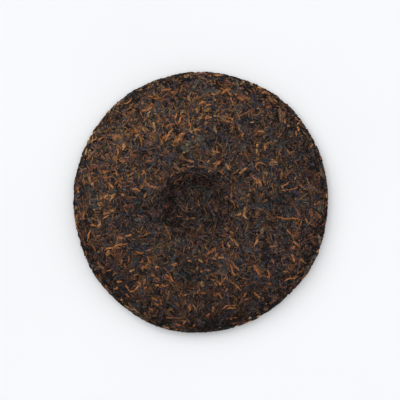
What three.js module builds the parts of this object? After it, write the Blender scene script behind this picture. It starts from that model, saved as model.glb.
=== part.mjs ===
// A pressed tea cake: a round, gently domed disc of compressed tea leaves, one solid with no
// moving part. It lies with its dimpled side up, as it does on a shelf or a tea table.
//
// Sizes are in millimetres. +Z is up, and the origin is the middle of the face it rests on.
// The pressed form is a body of revolution, slightly out of round, with the dimple that the
// cloth bag's knot leaves off its middle. Its whole skin is leaf relief: each leaf is a bent
// ridge at its true size, and the gaps between the leaves are hollows.
import * as THREE from "three";
import { ConvexHull } from "three/addons/math/ConvexHull.js";

// The pressed form
const EDGE_RADIUS = 99.3; // to the widest line of the edge, before the leaf relief
const EDGE_HEIGHT = 9.5; // of that line above the table
const TOP_RISE = 14.6; // from that line up to the top
const TOP_FLATNESS = 2.9; // a larger power keeps the top level further out
const TOP_SHOULDER = 0.46; // a smaller power makes the shoulder rounder
const UNDERSIDE_DROP = 9.8; // a little over EDGE_HEIGHT, so that the table cuts a flat spot
const UNDERSIDE_FLATNESS = 2.3;
const UNDERSIDE_SHOULDER = 0.46;

// The edge isn't a true circle: waves round it, each [waves, height in mm, angle of a crest].
const EDGE_WAVES = [
  [2, 1.2, 82],
  [3, 0.35, 16],
  [4, 0.25, -33],
  [5, 0.25, -29],
  [9, 0.25, 12],
];

// The dimple that the knot of the cloth bag pressed in, and the cloth's folds round it
const DIMPLE_CENTRE = new THREE.Vector2(-3.3, -5.0);
const DIMPLE_RADIUS = 29.5; // at the lip
const DIMPLE_FLOOR_RADIUS = 12.5;
const DIMPLE_DEPTH = 9.8;
const LIP_WAVES = [
  [2, 1.3, 118],
  [3, 1.1, 40],
  [7, 0.5, 10],
];
const FLOOR_WAVES = [[1, 4.5, 132]]; // the wall is steepest on the side of this crest
const FOLD_COUNT = 11;
const FOLD_DEPTH = 0.45;
const FOLD_REACH = 58; // from the dimple's centre to where the folds fade out

// The leaves' relief, the largest leaves first. A broad leaf is a flat strip between two rows of
// points, and a narrow one a single ridge.
const LEAF_STEP = 2.9; // between two points of one row
const LEAF_KINDS = [
  { count: 6, width: 2.6, lift: [0.75, 1.05], tries: 260 },
  { count: 5, width: 2.2, lift: [0.6, 0.95], tries: 420 },
  { count: 6, width: 0, lift: [0.45, 0.9], tries: 900 },
  { count: 4, width: 0, lift: [0.3, 0.8], tries: 4000 },
  { count: 3, width: 0, lift: [0.2, 0.7], tries: 9000 },
  { count: 2, width: 0, lift: [0.1, 0.6], tries: 9000 },
];
const LEAF_APART = 3.8; // between the rows of two leaves
const LEAF_BEND = 0.45; // radians from one step to the next, at most
const TIP_DROP = 0.3; // of a leaf's ends below its middle
const HOLLOW_TRIES = 90000;
const HOLLOW_FROM_LEAF = 1.75;
const HOLLOW_APART = 3.15;
const HOLLOW_DEPTH = [0.3, 0.8];
const COARSER_BELOW = 1.22; // the leaves of the underside are spaced this much wider
const REST_SPOT_RADIUS = 11; // the flat spot at the origin, with no hollows
const SEED = 357;

const PROFILE_STEPS = 2400;
const random = () => THREE.MathUtils.seededRandom();
const between = ([low, high]) => low + (high - low) * random();

// A sum of waves round a circle, at one angle.
function waves(list, angle) {
  return list.reduce(
    (sum, [count, height, crest]) =>
      sum + height * Math.cos(count * (angle - THREE.MathUtils.degToRad(crest))),
    0,
  );
}

// The height of the pressed form at a share of the edge radius.
function formHeight(share, onTop) {
  return onTop
    ? EDGE_HEIGHT + TOP_RISE * (1 - share ** TOP_FLATNESS) ** TOP_SHOULDER
    : EDGE_HEIGHT - UNDERSIDE_DROP * (1 - share ** UNDERSIDE_FLATNESS) ** UNDERSIDE_SHOULDER;
}

// How deep the dimple and the cloth's folds are at a place on the top.
function dimpleDepth(x, y) {
  const dx = x - DIMPLE_CENTRE.x;
  const dy = y - DIMPLE_CENTRE.y;
  const away = Math.hypot(dx, dy);
  const angle = Math.atan2(dy, dx);
  const lip = DIMPLE_RADIUS + waves(LIP_WAVES, angle);
  const floor = DIMPLE_FLOOR_RADIUS + waves(FLOOR_WAVES, angle);
  const bowl = DIMPLE_DEPTH * (1 - THREE.MathUtils.smoothstep(away, floor, lip));
  const fold = 0.5 + 0.5 * Math.cos(FOLD_COUNT * angle + Math.sin(3 * angle));
  const fade = Math.min(1, away / lip) * (1 - THREE.MathUtils.smoothstep(away, lip, FOLD_REACH));
  return bowl + FOLD_DEPTH * fade * fold ** 3;
}

// The profile from the middle of the top, over the edge, to the middle of the underside.
// Each step has its distance along the profile, its place, and its colatitude on a sphere that
// the whole skin maps to with its angles kept.
function profile() {
  const steps = [];
  for (let i = 0; i <= PROFILE_STEPS; i += 1) {
    const turn = (Math.PI * i) / PROFILE_STEPS;
    const share = Math.min(1, Math.sin(turn));
    const height = formHeight(share, turn <= Math.PI / 2);
    const step = { radius: EDGE_RADIUS * share, height, along: 0, stretch: 0 };
    if (i > 0) {
      const last = steps[i - 1];
      const length = Math.hypot(step.radius - last.radius, step.height - last.height);
      step.along = last.along + length;
      step.stretch = last.stretch + (2 * length) / (step.radius + last.radius);
    }
    steps.push(step);
  }
  const { stretch: edgeStretch } = steps[PROFILE_STEPS / 2];
  for (const step of steps) step.colatitude = 2 * Math.atan(Math.exp(step.stretch - edgeStretch));
  return steps;
}

const PROFILE = profile();
const PROFILE_LENGTH = PROFILE[PROFILE_STEPS].along;
const EDGE_ALONG = PROFILE[PROFILE_STEPS / 2].along;

// The profile at a distance along it, with its outward normal.
function profileAt(along) {
  let low = 0;
  let high = PROFILE_STEPS;
  while (high - low > 1) {
    const middle = (low + high) >> 1;
    if (PROFILE[middle].along <= along) low = middle;
    else high = middle;
  }
  const a = PROFILE[low];
  const b = PROFILE[high];
  const length = b.along - a.along;
  const share = (along - a.along) / length;
  return {
    radius: THREE.MathUtils.lerp(a.radius, b.radius, share),
    height: THREE.MathUtils.lerp(a.height, b.height, share),
    colatitude: THREE.MathUtils.lerp(a.colatitude, b.colatitude, share),
    outward: (a.height - b.height) / length,
    upward: (b.radius - a.radius) / length,
  };
}

// A point of the skin, lifted off the pressed form by so much. None lies under the table.
function skinPoint(along, angle, lift) {
  const at = profileAt(along);
  const outOfRound = 1 + waves(EDGE_WAVES, angle) / EDGE_RADIUS;
  const radius = at.radius * outOfRound + at.outward * lift;
  const x = radius * Math.cos(angle);
  const y = radius * Math.sin(angle);
  const sunk = along < EDGE_ALONG ? dimpleDepth(x, y) : 0;
  return new THREE.Vector3(x, y, Math.max(0, at.height + at.upward * lift - sunk));
}

// The points taken so far, kept in cubes so that near ones are found quickly.
class Neighbours {
  constructor(size) {
    this.size = size;
    this.cubes = new Map();
  }

  key(x, y, z) {
    return `${x},${y},${z}`;
  }

  add(point) {
    const key = this.key(...point.toArray().map((v) => Math.floor(v / this.size)));
    if (!this.cubes.has(key)) this.cubes.set(key, []);
    this.cubes.get(key).push(point);
  }

  anyWithin(point, distance) {
    const [x, y, z] = point.toArray().map((v) => Math.floor(v / this.size));
    for (let i = -1; i <= 1; i += 1)
      for (let j = -1; j <= 1; j += 1)
        for (let k = -1; k <= 1; k += 1) {
          const found = this.cubes.get(this.key(x + i, y + j, z + k)) ?? [];
          if (found.some((other) => other.distanceTo(point) < distance)) return true;
        }
    return false;
  }
}

// A random place, as likely in one square millimetre of the skin as in any other.
function randomPlace() {
  for (;;) {
    const along = PROFILE_LENGTH * random();
    if (random() * EDGE_RADIUS < profileAt(along).radius)
      return { along, angle: 2 * Math.PI * random() };
  }
}

// How much wider the leaves are spaced here.
const spacing = (along) => (along > EDGE_ALONG ? COARSER_BELOW : 1);

// The rows of one leaf: places a step apart that bend slowly, each in the middle or at both
// edges of the leaf. It is null where the leaf would cross a pole of the skin.
function leafPlaces({ count, width }) {
  const rows = width > 0 ? [-width / 2, width / 2] : [0];
  const places = [];
  let { along, angle } = randomPlace();
  let heading = 2 * Math.PI * random();
  const bend = LEAF_BEND * (2 * random() - 1);
  for (let i = 0; i < count; i += 1) {
    const step = LEAF_STEP * spacing(along);
    const { radius } = profileAt(along);
    if (radius < 2 * step || along < step || along > PROFILE_LENGTH - step) return null;
    const tip = Math.abs((2 * i) / (count - 1) - 1);
    for (const aside of rows) {
      const edgeAlong = along - aside * Math.sin(heading);
      places.push({ tip, along: edgeAlong, angle: angle + (aside * Math.cos(heading)) / radius });
    }
    along += step * Math.cos(heading);
    angle += (step * Math.sin(heading)) / radius;
    heading += bend;
  }
  return places;
}

// Every point of the relief: the leaves, then the hollows between them.
function reliefPoints() {
  THREE.MathUtils.seededRandom(SEED);
  const points = [];
  const leaves = new Neighbours(LEAF_APART * COARSER_BELOW);
  const hollows = new Neighbours(LEAF_APART * COARSER_BELOW);
  for (const kind of LEAF_KINDS)
    for (let n = 0; n < kind.tries; n += 1) {
      const places = leafPlaces(kind);
      if (!places) continue;
      const bare = places.map((p) => skinPoint(p.along, p.angle, 0));
      if (bare.some((b, i) => leaves.anyWithin(b, LEAF_APART * spacing(places[i].along)))) continue;
      const lift = between(kind.lift);
      places.forEach((p, i) => {
        points.push({ along: p.along, angle: p.angle, lift: lift - TIP_DROP * p.tip ** 2 });
        leaves.add(bare[i]);
      });
    }
  for (let n = 0; n < HOLLOW_TRIES; n += 1) {
    const place = randomPlace();
    const wider = spacing(place.along);
    const bare = skinPoint(place.along, place.angle, 0);
    if (leaves.anyWithin(bare, HOLLOW_FROM_LEAF * wider)) continue;
    if (hollows.anyWithin(bare, HOLLOW_APART * wider)) continue;
    const onRestSpot = place.along > EDGE_ALONG && Math.hypot(bare.x, bare.y) < REST_SPOT_RADIUS;
    points.push({ ...place, lift: onRestSpot ? 0 : -between(HOLLOW_DEPTH) });
    hollows.add(bare);
  }
  return points;
}

// The closed skin through the points: their triangles are those of the convex hull of the same
// places on a sphere, so that neighbours are joined and nothing is left open.
function skinGeometry(points) {
  const onSphere = points.map(({ along, angle }) =>
    new THREE.Vector3().setFromSphericalCoords(1, profileAt(along).colatitude, angle),
  );
  const index = new Map(onSphere.map((place, i) => [place, i]));
  const triangles = [];
  for (const face of new ConvexHull().setFromPoints(onSphere).faces) {
    const corners = [];
    let edge = face.edge;
    do {
      corners.push(index.get(edge.head().point));
      edge = edge.next;
    } while (edge !== face.edge);
    for (let i = 2; i < corners.length; i += 1)
      triangles.push(corners[0], corners[i - 1], corners[i]);
  }
  const places = points.flatMap((p) => skinPoint(p.along, p.angle, p.lift).toArray());
  return new THREE.BufferGeometry()
    .setAttribute("position", new THREE.Float32BufferAttribute(places, 3))
    .setIndex(triangles);
}

// The cake, moved so that the origin is under the middle of its bounding box.
function teaCake() {
  const geometry = skinGeometry(reliefPoints());
  geometry.computeBoundingBox();
  const middle = geometry.boundingBox.getCenter(new THREE.Vector3());
  geometry.translate(-middle.x, -middle.y, -geometry.boundingBox.min.z);
  const leaf = new THREE.MeshStandardMaterial({ color: 0x40322b, roughness: 0.75, metalness: 0 });
  const mesh = new THREE.Mesh(geometry, leaf);
  mesh.name = "tea_cake";
  return mesh;
}

const cake = new THREE.Group();
cake.add(teaCake());

export default cake;
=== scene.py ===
"""A pressed tea cake: a dark core of compressed tea, covered with separate leaves.

The cake lies on a pale floor with its dimpled side up and is seen from straight above. The
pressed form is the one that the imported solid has. Every leaf, bud, stem and crumb is a closed
mesh of its own size, bent to the form and pressed into it.
"""

import logging
from dataclasses import dataclass, fields, replace
from enum import Enum
from math import radians

import bmesh
import bpy
import numpy as np
from mathutils import Euler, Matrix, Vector


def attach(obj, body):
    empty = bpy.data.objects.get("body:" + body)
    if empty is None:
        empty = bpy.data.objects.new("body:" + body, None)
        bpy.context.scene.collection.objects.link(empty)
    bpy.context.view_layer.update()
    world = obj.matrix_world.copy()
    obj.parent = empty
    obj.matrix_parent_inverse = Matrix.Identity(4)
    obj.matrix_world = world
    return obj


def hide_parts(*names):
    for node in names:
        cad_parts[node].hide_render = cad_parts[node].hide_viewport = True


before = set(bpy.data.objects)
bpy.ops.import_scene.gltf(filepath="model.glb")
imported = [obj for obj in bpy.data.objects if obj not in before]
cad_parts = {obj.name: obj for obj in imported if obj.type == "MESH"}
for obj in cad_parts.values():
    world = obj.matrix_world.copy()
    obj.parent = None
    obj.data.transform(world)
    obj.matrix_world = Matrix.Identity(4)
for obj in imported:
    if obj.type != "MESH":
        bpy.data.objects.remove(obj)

LOG = logging.getLogger("tea_cake")
MM = 0.001
TAU = 2 * np.pi
GOLDEN_ANGLE = TAU * (1 - 1 / 1.618033988749895)
CELL_MARGIN = 0.06  # round a leaf on the bake map, as a share of its cell

Colour = tuple[float, float, float]
Stops = tuple[tuple[float, Colour], ...]


def linear(colour: Colour) -> tuple[float, float, float, float]:
    """Turn a display colour into the linear one that a shader takes.

    Args:
        colour: Red, green and blue from 0 to 255, as a photograph shows them.

    Returns:
        The linear colour with an alpha of 1.
    """
    share = np.array(colour) / 255
    low = share / 12.92
    high = ((share + 0.055) / 1.055) ** 2.4
    red, green, blue = np.where(share <= 0.04045, low, high)
    return float(red), float(green), float(blue), 1.0


def smoothstep(value: np.ndarray, low: np.ndarray | float, high: np.ndarray | float) -> np.ndarray:
    """Rise smoothly from 0, where the value is low or less, to 1, where it is high or more."""
    share = np.clip((value - low) / (high - low), 0, 1)
    return share * share * (3 - 2 * share)


def polar(away: np.ndarray | float, angle: np.ndarray | float) -> np.ndarray:
    """Give the places, as pairs, that are so far from the middle in that direction."""
    return np.stack([away * np.cos(angle), away * np.sin(angle)], -1)


def evenly(*colours: Colour) -> Stops:
    """Space a ramp's colours evenly."""
    return tuple(zip(np.linspace(0, 1, len(colours)).tolist(), colours, strict=True))


class Side(Enum):
    """Which pole of the cake a flat map of its skin is centred on."""

    UPPER = "upper"
    LOWER = "lower"


@dataclass(frozen=True)
class Wave:
    """One wave round an outline."""

    count: int
    height: float
    crest: float  # in degrees

    def at(self, angle: np.ndarray) -> np.ndarray:
        """Give the wave's height at each angle."""
        return self.height * np.cos(self.count * (angle - np.radians(self.crest)))


@dataclass
class PressedForm:
    """The shape that the cloth bag and the stone gave the cake, without its leaves."""

    centre: tuple[float, float] = (-0.38 * MM, 0.51 * MM)
    edge_radius: float = 99.3 * MM
    edge_height: float = 9.5 * MM
    top_rise: float = 14.6 * MM
    top_flatness: float = 2.9  # a higher power keeps the top level for further out
    top_shoulder: float = 0.46  # a lower power makes the edge blunter
    underside_drop: float = 9.8 * MM
    underside_flatness: float = 2.3
    underside_shoulder: float = 0.46
    edge_waves: tuple[Wave, ...] = (
        Wave(2, 1.2 * MM, 82),
        Wave(3, 0.35 * MM, 16),
        Wave(4, 0.25 * MM, -33),
        Wave(5, 0.25 * MM, -29),
        Wave(9, 0.25 * MM, 12),
    )
    dimple_centre: tuple[float, float] = (-3.3 * MM, -5.0 * MM)
    dimple_radius: float = 29.5 * MM
    dimple_floor_radius: float = 12.5 * MM
    dimple_depth: float = 9.8 * MM
    lip_waves: tuple[Wave, ...] = (
        Wave(2, 1.3 * MM, 118),
        Wave(3, 1.1 * MM, 40),
        Wave(7, 0.5 * MM, 10),
    )
    floor_waves: tuple[Wave, ...] = (Wave(1, 4.5 * MM, 132),)
    fold_count: int = 11
    fold_stray: int = 3  # how many times round they crowd together
    fold_sharpness: int = 3
    fold_depth: float = 0.45 * MM
    fold_reach: float = 58 * MM
    rest_give: float = 0.5 * MM  # what would go under the table is pressed into this
    profile_steps: int = 2400
    probe: float = 0.15 * MM  # how far apart two places are whose heights give the slope

    def __post_init__(self) -> None:
        """Work out the profile from the middle of the top to the middle of the underside."""
        turn = np.linspace(0, np.pi, self.profile_steps + 1)
        share = np.clip(np.sin(turn), 0, 1)
        top = (1 - share**self.top_flatness) ** self.top_shoulder
        under = (1 - share**self.underside_flatness) ** self.underside_shoulder
        rise = np.where(turn <= np.pi / 2, self.top_rise * top, -self.underside_drop * under)
        self.radii = self.edge_radius * share
        self.heights = self.edge_height + rise
        steps = np.hypot(np.diff(self.radii), np.diff(self.heights))
        self.alongs = np.concatenate([[0], np.cumsum(steps)])
        bands = np.pi * (self.radii[1:] + self.radii[:-1]) * steps
        self.areas = np.concatenate([[0], np.cumsum(bands)])
        self.length = float(self.alongs[-1])
        self.edge_along = float(self.alongs[self.profile_steps // 2])

    def out_of_round(self, angle: np.ndarray) -> np.ndarray:
        """Give how far out the edge is at each angle, as a share of its radius."""
        return 1 + sum(w.at(angle) for w in self.edge_waves) / self.edge_radius

    def dimple(self, x: np.ndarray, y: np.ndarray) -> np.ndarray:
        """Give how deep the dimple and the cloth's folds are.

        Args:
            x: Places on the top, from the form's own centre.
            y: The same.

        Returns:
            The depth at each place.
        """
        dx, dy = x - self.dimple_centre[0], y - self.dimple_centre[1]
        away, angle = np.hypot(dx, dy), np.arctan2(dy, dx)
        lip = self.dimple_radius + sum(w.at(angle) for w in self.lip_waves)
        floor = self.dimple_floor_radius + sum(w.at(angle) for w in self.floor_waves)
        bowl = self.dimple_depth * (1 - smoothstep(away, floor, lip))
        fold = (1 + np.cos(self.fold_count * angle + np.sin(self.fold_stray * angle))) / 2
        fade = np.minimum(1, away / lip) * (1 - smoothstep(away, lip, self.fold_reach))
        return bowl + self.fold_depth * fade * fold**self.fold_sharpness

    def skin(self, side: Side, flat: np.ndarray) -> np.ndarray:
        """Lay a flat map of the skin onto the form.

        Args:
            side: The pole that the map is centred on.
            flat: Places on the map, an array of pairs. Its distance from the middle is the
                distance over the skin from the pole.

        Returns:
            The places in the frame, an array of triples.
        """
        reach = np.clip(np.hypot(flat[:, 0], flat[:, 1]), 0, self.length)
        angle = np.arctan2(flat[:, 1], flat[:, 0])
        along = reach if side is Side.UPPER else self.length - reach
        radius = np.interp(along, self.alongs, self.radii) * self.out_of_round(angle)
        height = np.interp(along, self.alongs, self.heights)
        x, y = radius * np.cos(angle), radius * np.sin(angle)
        sunk = np.where(along < self.edge_along, self.dimple(x, y), 0)
        return np.stack([x + self.centre[0], y + self.centre[1], height - sunk], 1)

    def flat_at(self, x: np.ndarray, y: np.ndarray) -> np.ndarray:
        """Give the place on the upper flat map that lies over each place in the frame.

        Args:
            x: Places in the frame.
            y: The same.

        Returns:
            The places on the map, an array of pairs.
        """
        dx, dy = x - self.centre[0], y - self.centre[1]
        angle = np.arctan2(dy, dx)
        top = self.profile_steps // 2
        away = np.hypot(dx, dy) / self.out_of_round(angle)
        return polar(np.interp(away, self.radii[:top], self.alongs[:top]), angle)

    def hollow(self, side: Side, flat: np.ndarray) -> np.ndarray:
        """Give how deep in the dimple each place of a flat map is.

        Args:
            side: The pole that the map is centred on.
            flat: Places on the map.

        Returns:
            From 0 outside the dimple to 1 on its floor.
        """
        if side is Side.LOWER:
            return np.zeros(len(flat))
        places = self.skin(side, flat)
        x, y = places[:, 0] - self.centre[0], places[:, 1] - self.centre[1]
        return np.clip(self.dimple(x, y) / self.dimple_depth, 0, 1)

    def outness(self, flat: np.ndarray) -> np.ndarray:
        """Give how far out each place of a flat map is, from 0 to 1 at the edge."""
        return np.hypot(flat[:, 0], flat[:, 1]) / self.edge_along

    def slopes(self, side: Side, flat: np.ndarray) -> tuple[np.ndarray, np.ndarray]:
        """Give how the skin runs from each place of a flat map.

        Args:
            side: The pole that the map is centred on.
            flat: Places on the map.

        Returns:
            What a unit step along the map's first axis gives in the frame, and along its
            second.
        """
        probes = []
        for axis in np.eye(2) * self.probe:
            ahead, behind = self.skin(side, flat + axis), self.skin(side, flat - axis)
            probes.append((ahead - behind) / (2 * self.probe))
        return probes[0], probes[1]

    def outward(self, side: Side, flat: np.ndarray) -> np.ndarray:
        """Give the outward normal at each place of a flat map.

        Args:
            side: The pole that the map is centred on.
            flat: Places on the map.

        Returns:
            The normals, each of length 1.
        """
        normal = np.cross(*self.slopes(side, flat))
        normal /= np.linalg.norm(normal, axis=1, keepdims=True)
        return normal if side is Side.UPPER else -normal

    def lifted(self, side: Side, flat: np.ndarray, lift: np.ndarray) -> np.ndarray:
        """Give places above or below the skin, none of them under the table.

        Args:
            side: The pole that the map is centred on.
            flat: Places on the map.
            lift: How far each is lifted off the skin.

        Returns:
            The places in the frame.
        """
        places = self.skin(side, flat) + self.outward(side, flat) * lift[:, None]
        under = np.minimum(places[:, 2] / self.rest_give - 1, 0)
        places[:, 2] = np.maximum(places[:, 2], self.rest_give * np.exp(under))
        return places

    def spread(self, side: Side, count: int, reach: tuple[float, float], turn: float) -> np.ndarray:
        """Spread places evenly over a part of the skin, by a golden spiral.

        Args:
            side: The pole that the map is centred on.
            count: How many.
            reach: From how far over the skin from the pole to how far.
            turn: Where round the pole the spiral begins.

        Returns:
            The places on the map.
        """
        total = self.areas[-1]
        if side is Side.UPPER:
            low, high = np.interp(reach, self.alongs, self.areas)
        else:
            ends = self.length - np.array(reach)
            low, high = total - np.interp(ends, self.alongs, self.areas)
        area = low + (high - low) * (np.arange(count) + 0.5) / count
        if side is Side.UPPER:
            distance = np.interp(area, self.areas, self.alongs)
        else:
            distance = self.length - np.interp(total - area, self.areas, self.alongs)
        return polar(distance, turn + GOLDEN_ANGLE * np.arange(count))


class Value:
    """A number that varies over a surface: an output socket that takes Python's operators."""

    def __init__(self, surface: "Surface", socket: bpy.types.NodeSocket) -> None:
        """Wrap a node's output in the material that it is in."""
        self.surface = surface
        self.socket = socket

    def maths(self, operation: str, *terms: "Value | float") -> "Value":
        """Add a Math node.

        Args:
            operation: Its operation.
            terms: Its inputs, in order.

        Returns:
            Its output.
        """
        sockets = dict(enumerate(terms))
        node = self.surface.add("ShaderNodeMath", {"operation": operation}, sockets)
        return Value(self.surface, node.outputs[0])

    def __add__(self, other: "Value | float") -> "Value":
        """Add."""
        return self.maths("ADD", self, other)

    def __radd__(self, other: float) -> "Value":
        """Add, the number first."""
        return self.maths("ADD", other, self)

    def __sub__(self, other: "Value | float") -> "Value":
        """Subtract."""
        return self.maths("SUBTRACT", self, other)

    def __rsub__(self, other: float) -> "Value":
        """Subtract from a number."""
        return self.maths("SUBTRACT", other, self)

    def __mul__(self, other: "Value | float") -> "Value":
        """Multiply."""
        return self.maths("MULTIPLY", self, other)

    def __rmul__(self, other: float) -> "Value":
        """Multiply, the number first."""
        return self.maths("MULTIPLY", other, self)

    def __pow__(self, other: float) -> "Value":
        """Raise to a power."""
        return self.maths("POWER", self, other)

    def clamped(self) -> "Value":
        """Keep the number between 0 and 1."""
        node = self.surface.add("ShaderNodeClamp", {}, {"Value": self})
        return Value(self.surface, node.outputs[0])

    def stretched(self, low: float, high: float) -> "Value":
        """Stretch the stretch of numbers from low to high to the whole of 0 to 1."""
        return ((self - low) * (1 / (high - low))).clamped()


@dataclass(frozen=True)
class Pattern:
    """A noise pattern."""

    scale: tuple[float, float, float]  # how many of its blobs a metre holds along each axis
    detail: float = 1.0  # how many finer layers it has
    low: float = 0.3  # what becomes 0
    high: float = 0.7  # what becomes 1


class Surface:
    """A material under construction, with one Principled shader."""

    def __init__(self, name: str, specular: float) -> None:
        """Start the material.

        Args:
            name: Its name.
            specular: The strength of its reflection, the same all over.
        """
        self.material = bpy.data.materials.new(name)
        self.material.use_nodes = True
        self.tree = self.material.node_tree
        self.shader = self.tree.nodes["Principled BSDF"]
        self.shader.inputs["Specular IOR Level"].default_value = specular

    def add(self, kind: str, settings: dict, sockets: dict) -> bpy.types.Node:
        """Add a node.

        Args:
            kind: The node's type.
            settings: What is set on the node itself, and a ramp's stops, before its sockets.
            sockets: What goes into its inputs, by name or number: a Value, a socket or a
                plain number or colour.

        Returns:
            The node.
        """
        node = self.tree.nodes.new(kind)
        for key, setting in settings.items():
            if key == "stops":
                self.set_stops(node.color_ramp.elements, setting)
            else:
                setattr(node, key, setting)
        for key, what in sockets.items():
            source = what.socket if isinstance(what, Value) else what
            if isinstance(source, bpy.types.NodeSocket):
                self.tree.links.new(source, node.inputs[key])
            else:
                node.inputs[key].default_value = source
        return node

    def set_stops(self, elements: bpy.types.ColorRampElements, stops: Stops) -> None:
        """Set a ramp's stops.

        Args:
            elements: The ramp's elements, two of them.
            stops: Each stop's place and its display colour.
        """
        while len(elements) < len(stops):
            elements.new(1.0)
        for element, (place, colour) in zip(elements, stops, strict=True):
            element.position = place
            element.color = linear(colour)

    def attribute(self, name: str) -> bpy.types.Node:
        """Read an attribute of the mesh."""
        return self.add("ShaderNodeAttribute", {"attribute_name": name}, {})

    def number(self, name: str) -> Value:
        """Read an attribute of the mesh as a number."""
        return Value(self, self.attribute(name).outputs["Fac"])

    def noise(self, vector: bpy.types.NodeSocket, pattern: Pattern) -> Value:
        """Add a noise pattern.

        Args:
            vector: The coordinates it reads.
            pattern: Its size and contrast.

        Returns:
            The pattern, from 0 to 1.
        """
        mapping = self.add("ShaderNodeMapping", {}, {"Vector": vector, "Scale": pattern.scale})
        sockets = {"Vector": mapping.outputs[0], "Scale": 1.0, "Detail": pattern.detail}
        noise = Value(self, self.add("ShaderNodeTexNoise", {}, sockets).outputs["Fac"])
        return noise.stretched(pattern.low, pattern.high)

    def object_place(self) -> bpy.types.NodeSocket:
        """Give the place in the frame."""
        return self.add("ShaderNodeTexCoord", {}, {}).outputs["Object"]

    def ramp(self, value: Value, stops: Stops) -> bpy.types.NodeSocket:
        """Turn a number into a colour."""
        node = self.add("ShaderNodeValToRGB", {"stops": stops}, {"Fac": value})
        return node.outputs["Color"]

    def mixed(
        self, share: Value, first: bpy.types.NodeSocket, second: bpy.types.NodeSocket
    ) -> bpy.types.NodeSocket:
        """Mix two colours, with a share of the second from 0 to 1."""
        node = self.add("ShaderNodeMix", {"data_type": "RGBA"}, {0: share, 6: first, 7: second})
        return node.outputs[2]

    def shaded(self, colour: bpy.types.NodeSocket, light: Value) -> bpy.types.NodeSocket:
        """Multiply a colour by a number that varies.

        Args:
            colour: The colour.
            light: What it is multiplied by, from 0 to 1.

        Returns:
            The darker colour.
        """
        settings = {"data_type": "RGBA", "blend_type": "MULTIPLY"}
        grey = self.add("ShaderNodeCombineColor", {}, {0: light, 1: light, 2: light})
        sockets = {0: 1.0, 6: colour, 7: grey.outputs[0]}
        return self.add("ShaderNodeMix", settings, sockets).outputs[2]

    def bumped(self, height: Value, distance: float) -> bpy.types.NodeSocket:
        """Turn a height from 0 to 1 into a normal, where 1 is as high as the distance."""
        sockets = {"Strength": 1.0, "Distance": distance, "Height": height}
        return self.add("ShaderNodeBump", {}, sockets).outputs[0]

    def dress(
        self, colour: bpy.types.NodeSocket, roughness: Value, normal: bpy.types.NodeSocket
    ) -> bpy.types.Material:
        """Link what varies into the shader.

        Args:
            colour: The base colour.
            roughness: The roughness.
            normal: The normal.

        Returns:
            The finished material.
        """
        inputs = self.shader.inputs
        self.tree.links.new(colour, inputs["Base Color"])
        self.tree.links.new(roughness.socket, inputs["Roughness"])
        self.tree.links.new(normal, inputs["Normal"])
        return self.material


@dataclass(frozen=True)
class LeafFinish:
    """Dried tea leaf: fine streaks along the leaf, darker where it sinks into the cake: dust and
    painted shade.
    """

    name: str
    streak_share: float = 0.4  # of the streaks in the leaf's tone
    mottle_share: float = 0.4  # of the patches in it
    warmth_share: float = 1.0  # of the patches in the leaf's warmth
    violet: Stops = evenly((17, 13, 16), (38, 36, 47), (68, 60, 70), (110, 87, 80), (166, 134, 106))
    olive: Stops = evenly((14, 14, 12), (34, 40, 42), (63, 67, 62), (108, 98, 76), (163, 145, 98))
    red: Stops = evenly((27, 16, 13), (62, 38, 28), (105, 61, 39), (151, 88, 48), (190, 124, 76))
    yellow: Stops = evenly((23, 17, 11), (56, 43, 29), (94, 69, 42), (138, 97, 52), (186, 142, 84))
    hue_share: float = 1.0  # of the flecks in the leaf's hue
    streaks: Pattern = Pattern((220.0, 1000.0, 1000.0), 3.0, 0.32, 0.68)
    veins: Pattern = Pattern((500.0, 4200.0, 4200.0))
    patches: Pattern = Pattern((620.0, 900.0, 900.0), 3.0, 0.32, 0.68)
    flecks: Pattern = Pattern((400.0, 750.0, 750.0), 1.0, 0.34, 0.66)
    specular: float = 0.08
    buried_shade: float = 0.84  # painted shade and dust, taken off a leaf that is as deep as the core
    roughness: float = 0.8
    streak_polish: float = 0.2  # taken off the roughness on a streak
    vein_polish: float = 0.1
    vein_relief: float = 0.4  # of the veins in the relief, and the streaks have the rest
    relief: float = 0.3 * MM

    def material(self) -> bpy.types.Material:
        """Build the material from the mesh's own grain, tone, warmth, hue and depth, the painted
        shade.

        Returns:
            The material.
        """
        surface = Surface(self.name, self.specular)
        grain = surface.attribute("grain").outputs["Vector"]
        streaks = surface.noise(grain, self.streaks)
        veins = surface.noise(grain, self.veins)
        patches = surface.noise(grain, self.patches)
        tone = surface.number("tone") + (streaks - 0.5) * self.streak_share
        tone = (tone + (patches - 0.5) * self.mottle_share).clamped()
        warmth = (surface.number("warmth") + (patches - 0.5) * self.warmth_share).clamped()
        flecks = surface.noise(grain, self.flecks)
        hue = (surface.number("hue") + (flecks - 0.5) * self.hue_share).clamped()
        cool = surface.mixed(hue, surface.ramp(tone, self.violet), surface.ramp(tone, self.olive))
        warm = surface.mixed(hue, surface.ramp(tone, self.red), surface.ramp(tone, self.yellow))
        colour = surface.mixed(warmth, cool, warm)
        # painted shade, with dust, from the depth attribute
        light = 1.0 - surface.number("depth") * self.buried_shade
        height = streaks * (1 - self.vein_relief) + veins * self.vein_relief
        roughness = self.roughness - streaks * self.streak_polish - veins * self.vein_polish
        normal = surface.bumped(height, self.relief)
        return surface.dress(surface.shaded(colour, light), roughness, normal)


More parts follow.
